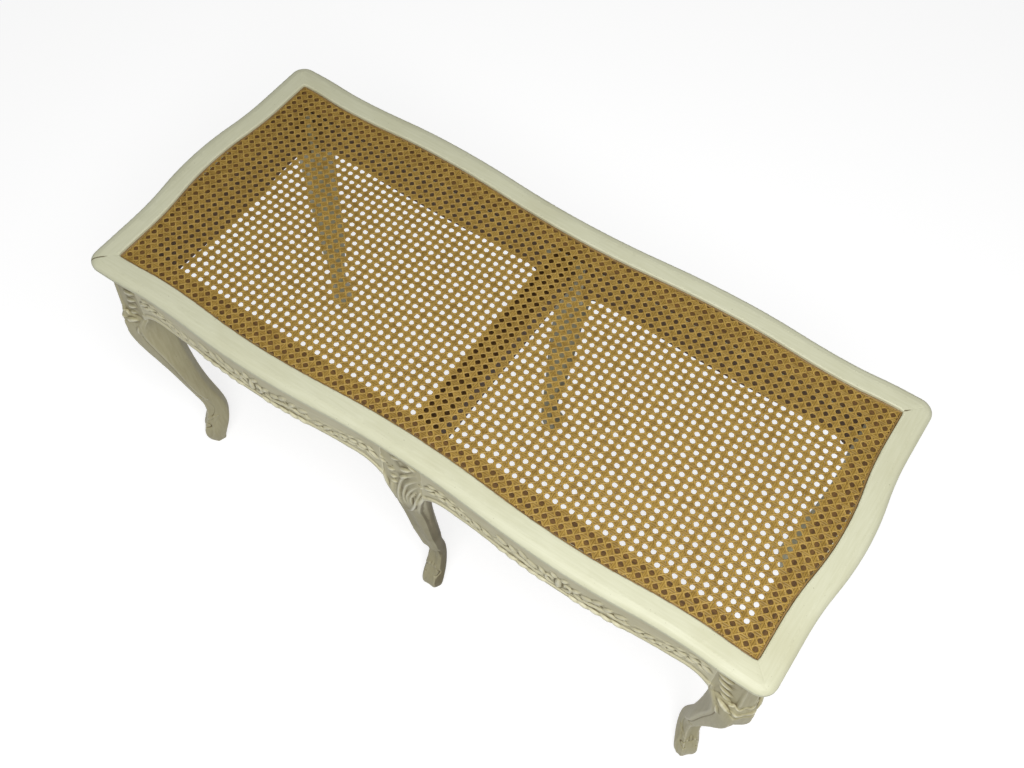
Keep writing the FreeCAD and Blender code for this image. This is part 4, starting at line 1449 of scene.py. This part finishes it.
@dataclass
class Aprons:
    """The wavy aprons between the legs, with sprays of leaves over a smooth bead."""

    skin: float = 0.001
    kept: float = 0.42
    lap: float = 0.002
    lap_reach: float = 0.004
    inside_look: float = 0.6
    long_half: float = 0.1995
    end_half: float = 0.1495
    end_centre: Place = (-0.48, 0.0, 0.0)
    long_leg: float = 198.0
    end_leg: float = 148.0
    gap_start: float = 100.0
    gap_end: float = 140.0
    seed: int = 5

    def build(self) -> None:
        """Carves a long and an end apron and copies them round the bench."""
        low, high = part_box("apron_front_left")
        centre = (low + high) / 2
        long_cuts = self.spray() + self.mouldings() + self.sprigs(self.long_leg)
        front = self.apron("apron_front_left", "apron_long_front_left", Side.FRONT, centre, self.long_half,
                           long_cuts)
        left = self.apron("apron_end_left", "apron_end_left_side", Side.LEFT, Vector(self.end_centre),
                          self.end_half, self.spray() + self.sprigs(self.end_leg))
        half_turn = Matrix.Rotation(math.pi, 4, "Z")
        shift = Matrix.Translation((-2 * centre.x, 0.0, 0.0))
        pieces = (
            (front, "apron_front_left", Side.FRONT),
            (turned_copy(front, "apron_long_front_right", shift), "apron_front_right", Side.FRONT),
            (turned_copy(front, "apron_long_back_right", half_turn), "apron_back_right", Side.BACK),
            (turned_copy(front, "apron_long_back_left", half_turn @ shift), "apron_back_left", Side.BACK),
            (left, "apron_end_left", Side.LEFT),
            (turned_copy(left, "apron_end_right_side", half_turn), "apron_end_right", Side.RIGHT),
        )
        for piece, node, side in pieces:
            paint = replace(APRON_PAINT, name=piece.name + "_paint", grain=side.grain)
            finished(piece, paint.material(), node)
            # The inner faces take dark bare wood, partly real unpainted wood and partly painted shade inside
            # the frame.
            wood = DarkBareBeech(piece.name + "_inside", side.grain).material()
            way_in = -np.array(side.value)
            leave_bare(piece, wood, lambda middles, looks: looks @ way_in > self.inside_look)

    def apron(self, node: str, name: str, side: Side, centre: Vector, half_run: float,
              cuts: list[Cut]) -> Piece:
        """An apron whose ends reach a little way into the legs, so that no gap shows.

        Args:
            node: the solid's name.
            name: the piece's name.
            side: the side of the bench that it is on.
            centre: a place on the upright line through its middle.
            half_run: half the length that shows.
            cuts: its carving, from the middle and the lower edge.

        Returns:
            The carved apron.
        """
        carver = Carver(Ground(node, centre, Vector(side.value)), from_edge=True)
        carver.lay(cuts)
        piece = skinned(node, name, self.skin)
        points = points_of(piece.data)
        axis = 0 if side.grain is Grain.ALONG else 1
        away = points[:, axis] - centre[axis]
        share = np.clip((np.abs(away) - half_run + self.lap_reach) / self.lap_reach, 0, 1)
        points[:, axis] += np.sign(away) * self.lap * share
        put_points(piece.data, points)
        carver.carved(piece, self.kept)
        return piece

    def spray(self) -> list[Cut]:
        """The spray of leaves and scrolls at the middle of an apron.

        Returns:
            Its cuts.
        """
        chance = np.random.default_rng(self.seed)
        cuts = [
            (LOBE, [(0, 30), (0, 9)], 4.4, 1.9),
            (LOBE, [(4, 32), (11, 38)], 3.4, 1.5),
            (SCROLL, [(5, 9), (12, 12), (17, 19), (15, 26), (9, 25), (9, 20)], 2.1, 1.5),
            (SCROLL, [(15, 9), (30, 12), (48, 17), (66, 20), (80, 16), (88, 19), (85, 25)], 2.1, 1.3),
        ]
        for number in range(5):
            u = 17 + number * 14.5 + chance.uniform(-2, 2)
            base = 16 + 6 * math.sin(math.pi * (number + 1) / 7) + chance.uniform(-1.5, 1.5)
            rise = chance.uniform(5, 11)
            size = chance.uniform(0.8, 1.15)
            cuts += [
                (LOBE, [(u, base + 2), (u + 15 * size - rise * 0.5, base + 3 + rise)], 4.0 * size, 1.3),
                (LOBE, [(u + 4, base - 4), (u + 18, base - 8 + chance.uniform(-3, 3))], 4.5 - size, 1.1),
                (LOBE, [(u - 2, 6), (u + 11, 2.5 + chance.uniform(-1, 1))], 3.4, 1.0),
                pin(u + 11, base + 2, 1.7, 2.0),
            ]
        return cuts

    def mouldings(self) -> list[Cut]:
        """The fine line and the small leaves in the gap between the spray and the sprigs.

        Returns:
            Their cuts.
        """
        chance = np.random.default_rng(self.seed + 1)
        start, end = self.gap_start, self.gap_end
        cuts = [(RIB, [(start, 26.0), ((start + end) / 2, 25.0), (end, 28.0)], 1.3, 0.8)]
        for number in range(3):
            u = start - 2 + number * 15 + chance.uniform(-1.5, 1.5)
            cuts += [
                (LOBE, [(u, 13), (u + 13, 19 + chance.uniform(-2, 3))], 3.4, 1.2),
                (LOBE, [(u + 6, 8), (u + 18, 10 + chance.uniform(-2, 2))], 3.0, 1.0),
                pin(u + 13, 13, 1.6, 2.0),
            ]
        return cuts

    def sprigs(self, end: float) -> list[Cut]:
        """The rows of long leaves that come out of the legs.

        Args:
            end: where the leg begins, to the right of the middle.

        Returns:
            Their cuts.
        """
        cuts = []
        for number in range(4):
            u, base = end - 1 - number * 15, 33 - number * 4
            narrow, low = number * 0.2, number * 0.1
            cuts += [
                (LOBE, [(u, base), (u - 15, base - 1)], 3.5 - narrow, 1.6 - low),
                (LOBE, [(u - 4, base - 8), (u - 19, base - 10)], 3.3 - narrow, 1.5 - low),
                (LOBE, [(u - 6, base + 8), (u - 17, base + 5)], 2.6 - narrow, 1.2 - low),
                pin(u - 16, base - 4, 1.6, 2.0),
            ]
        return cuts


@dataclass
class HiddenJoinery:
    """The rail between the middle legs, the loose tongues and the mitre keys."""

    across: tuple[str, ...] = ("centre_rail",)
    along: tuple[str, ...] = ("frame_tongues", "mitre_keys")

    def build(self) -> None:
        """Dresses the solids in bare wood."""
        for node in self.across + self.along:
            grain = Grain.ACROSS if node in self.across else Grain.ALONG
            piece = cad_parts[node]
            piece.data.materials.clear()
            piece.data.materials.append(DarkBareBeech(node + "_wood", grain).material())
            log.info("%s: dressed in bare wood", node)


# The studio


@dataclass
class Studio:
    """A white floor, soft light from above and the camera of the photograph."""

    camera_place: Place = (0.43461, -0.63934, 1.67356)
    camera_turn: Place = (30.6443, -1.0245, 34.4482)
    camera_lens: float = 39.84
    sensor_width: float = 36.0
    lamp_place: Place = (0.6, -0.75, 2.0)
    lamp_turn: Place = (24.0, 16.0, 0.0)
    lamp_size: float = 1.0
    lamp_power: float = 31.0
    sky: float = 0.24
    floor_size: float = 14.0

    def build(self) -> None:
        """Sets up the floor, the lights and the camera."""
        self.floor()
        self.lamp()
        self.world()
        self.camera()
        bpy.context.scene.view_settings.view_transform = "Standard"

    def floor(self) -> None:
        """Lays the floor."""
        bpy.ops.mesh.primitive_grid_add(x_subdivisions=4, y_subdivisions=4, size=self.floor_size)
        floor = bpy.context.object
        floor.name = "studio_floor"
        floor.data.materials.append(StudioFloor().material())

    def lamp(self) -> None:
        """Hangs a soft square light."""
        rotation = [math.radians(angle) for angle in self.lamp_turn]
        bpy.ops.object.light_add(type="AREA", location=self.lamp_place, rotation=rotation)
        lamp = bpy.context.object
        lamp.name = "light_over"
        lamp.data.size = self.lamp_size
        lamp.data.energy = self.lamp_power

    def world(self) -> None:
        """Gives the room a plain white light."""
        world = bpy.data.worlds.new("studio_world")
        world.use_nodes = True
        background = world.node_tree.nodes["Background"]
        background.inputs["Color"].default_value = (1.0, 1.0, 1.0, 1.0)
        background.inputs["Strength"].default_value = self.sky
        bpy.context.scene.world = world

    def camera(self) -> None:
        """Places the camera."""
        rotation = [math.radians(angle) for angle in self.camera_turn]
        bpy.ops.object.camera_add(location=self.camera_place, rotation=rotation)
        camera = bpy.context.object
        camera.data.lens = self.camera_lens
        camera.data.sensor_width = self.sensor_width
        bpy.context.scene.camera = camera


def main() -> None:
    """Builds and dresses the bench, and sets up the studio."""
    logging.basicConfig(level=logging.INFO, format="%(name)s %(message)s")
    CaneWebbing().build()
    SeatFrame().build()
    SeatReed().build()
    CornerLegs().build()
    MiddleLegs().build()
    Aprons().build()
    HiddenJoinery().build()
    Studio().build()


if __name__ == "__main__":
    main()
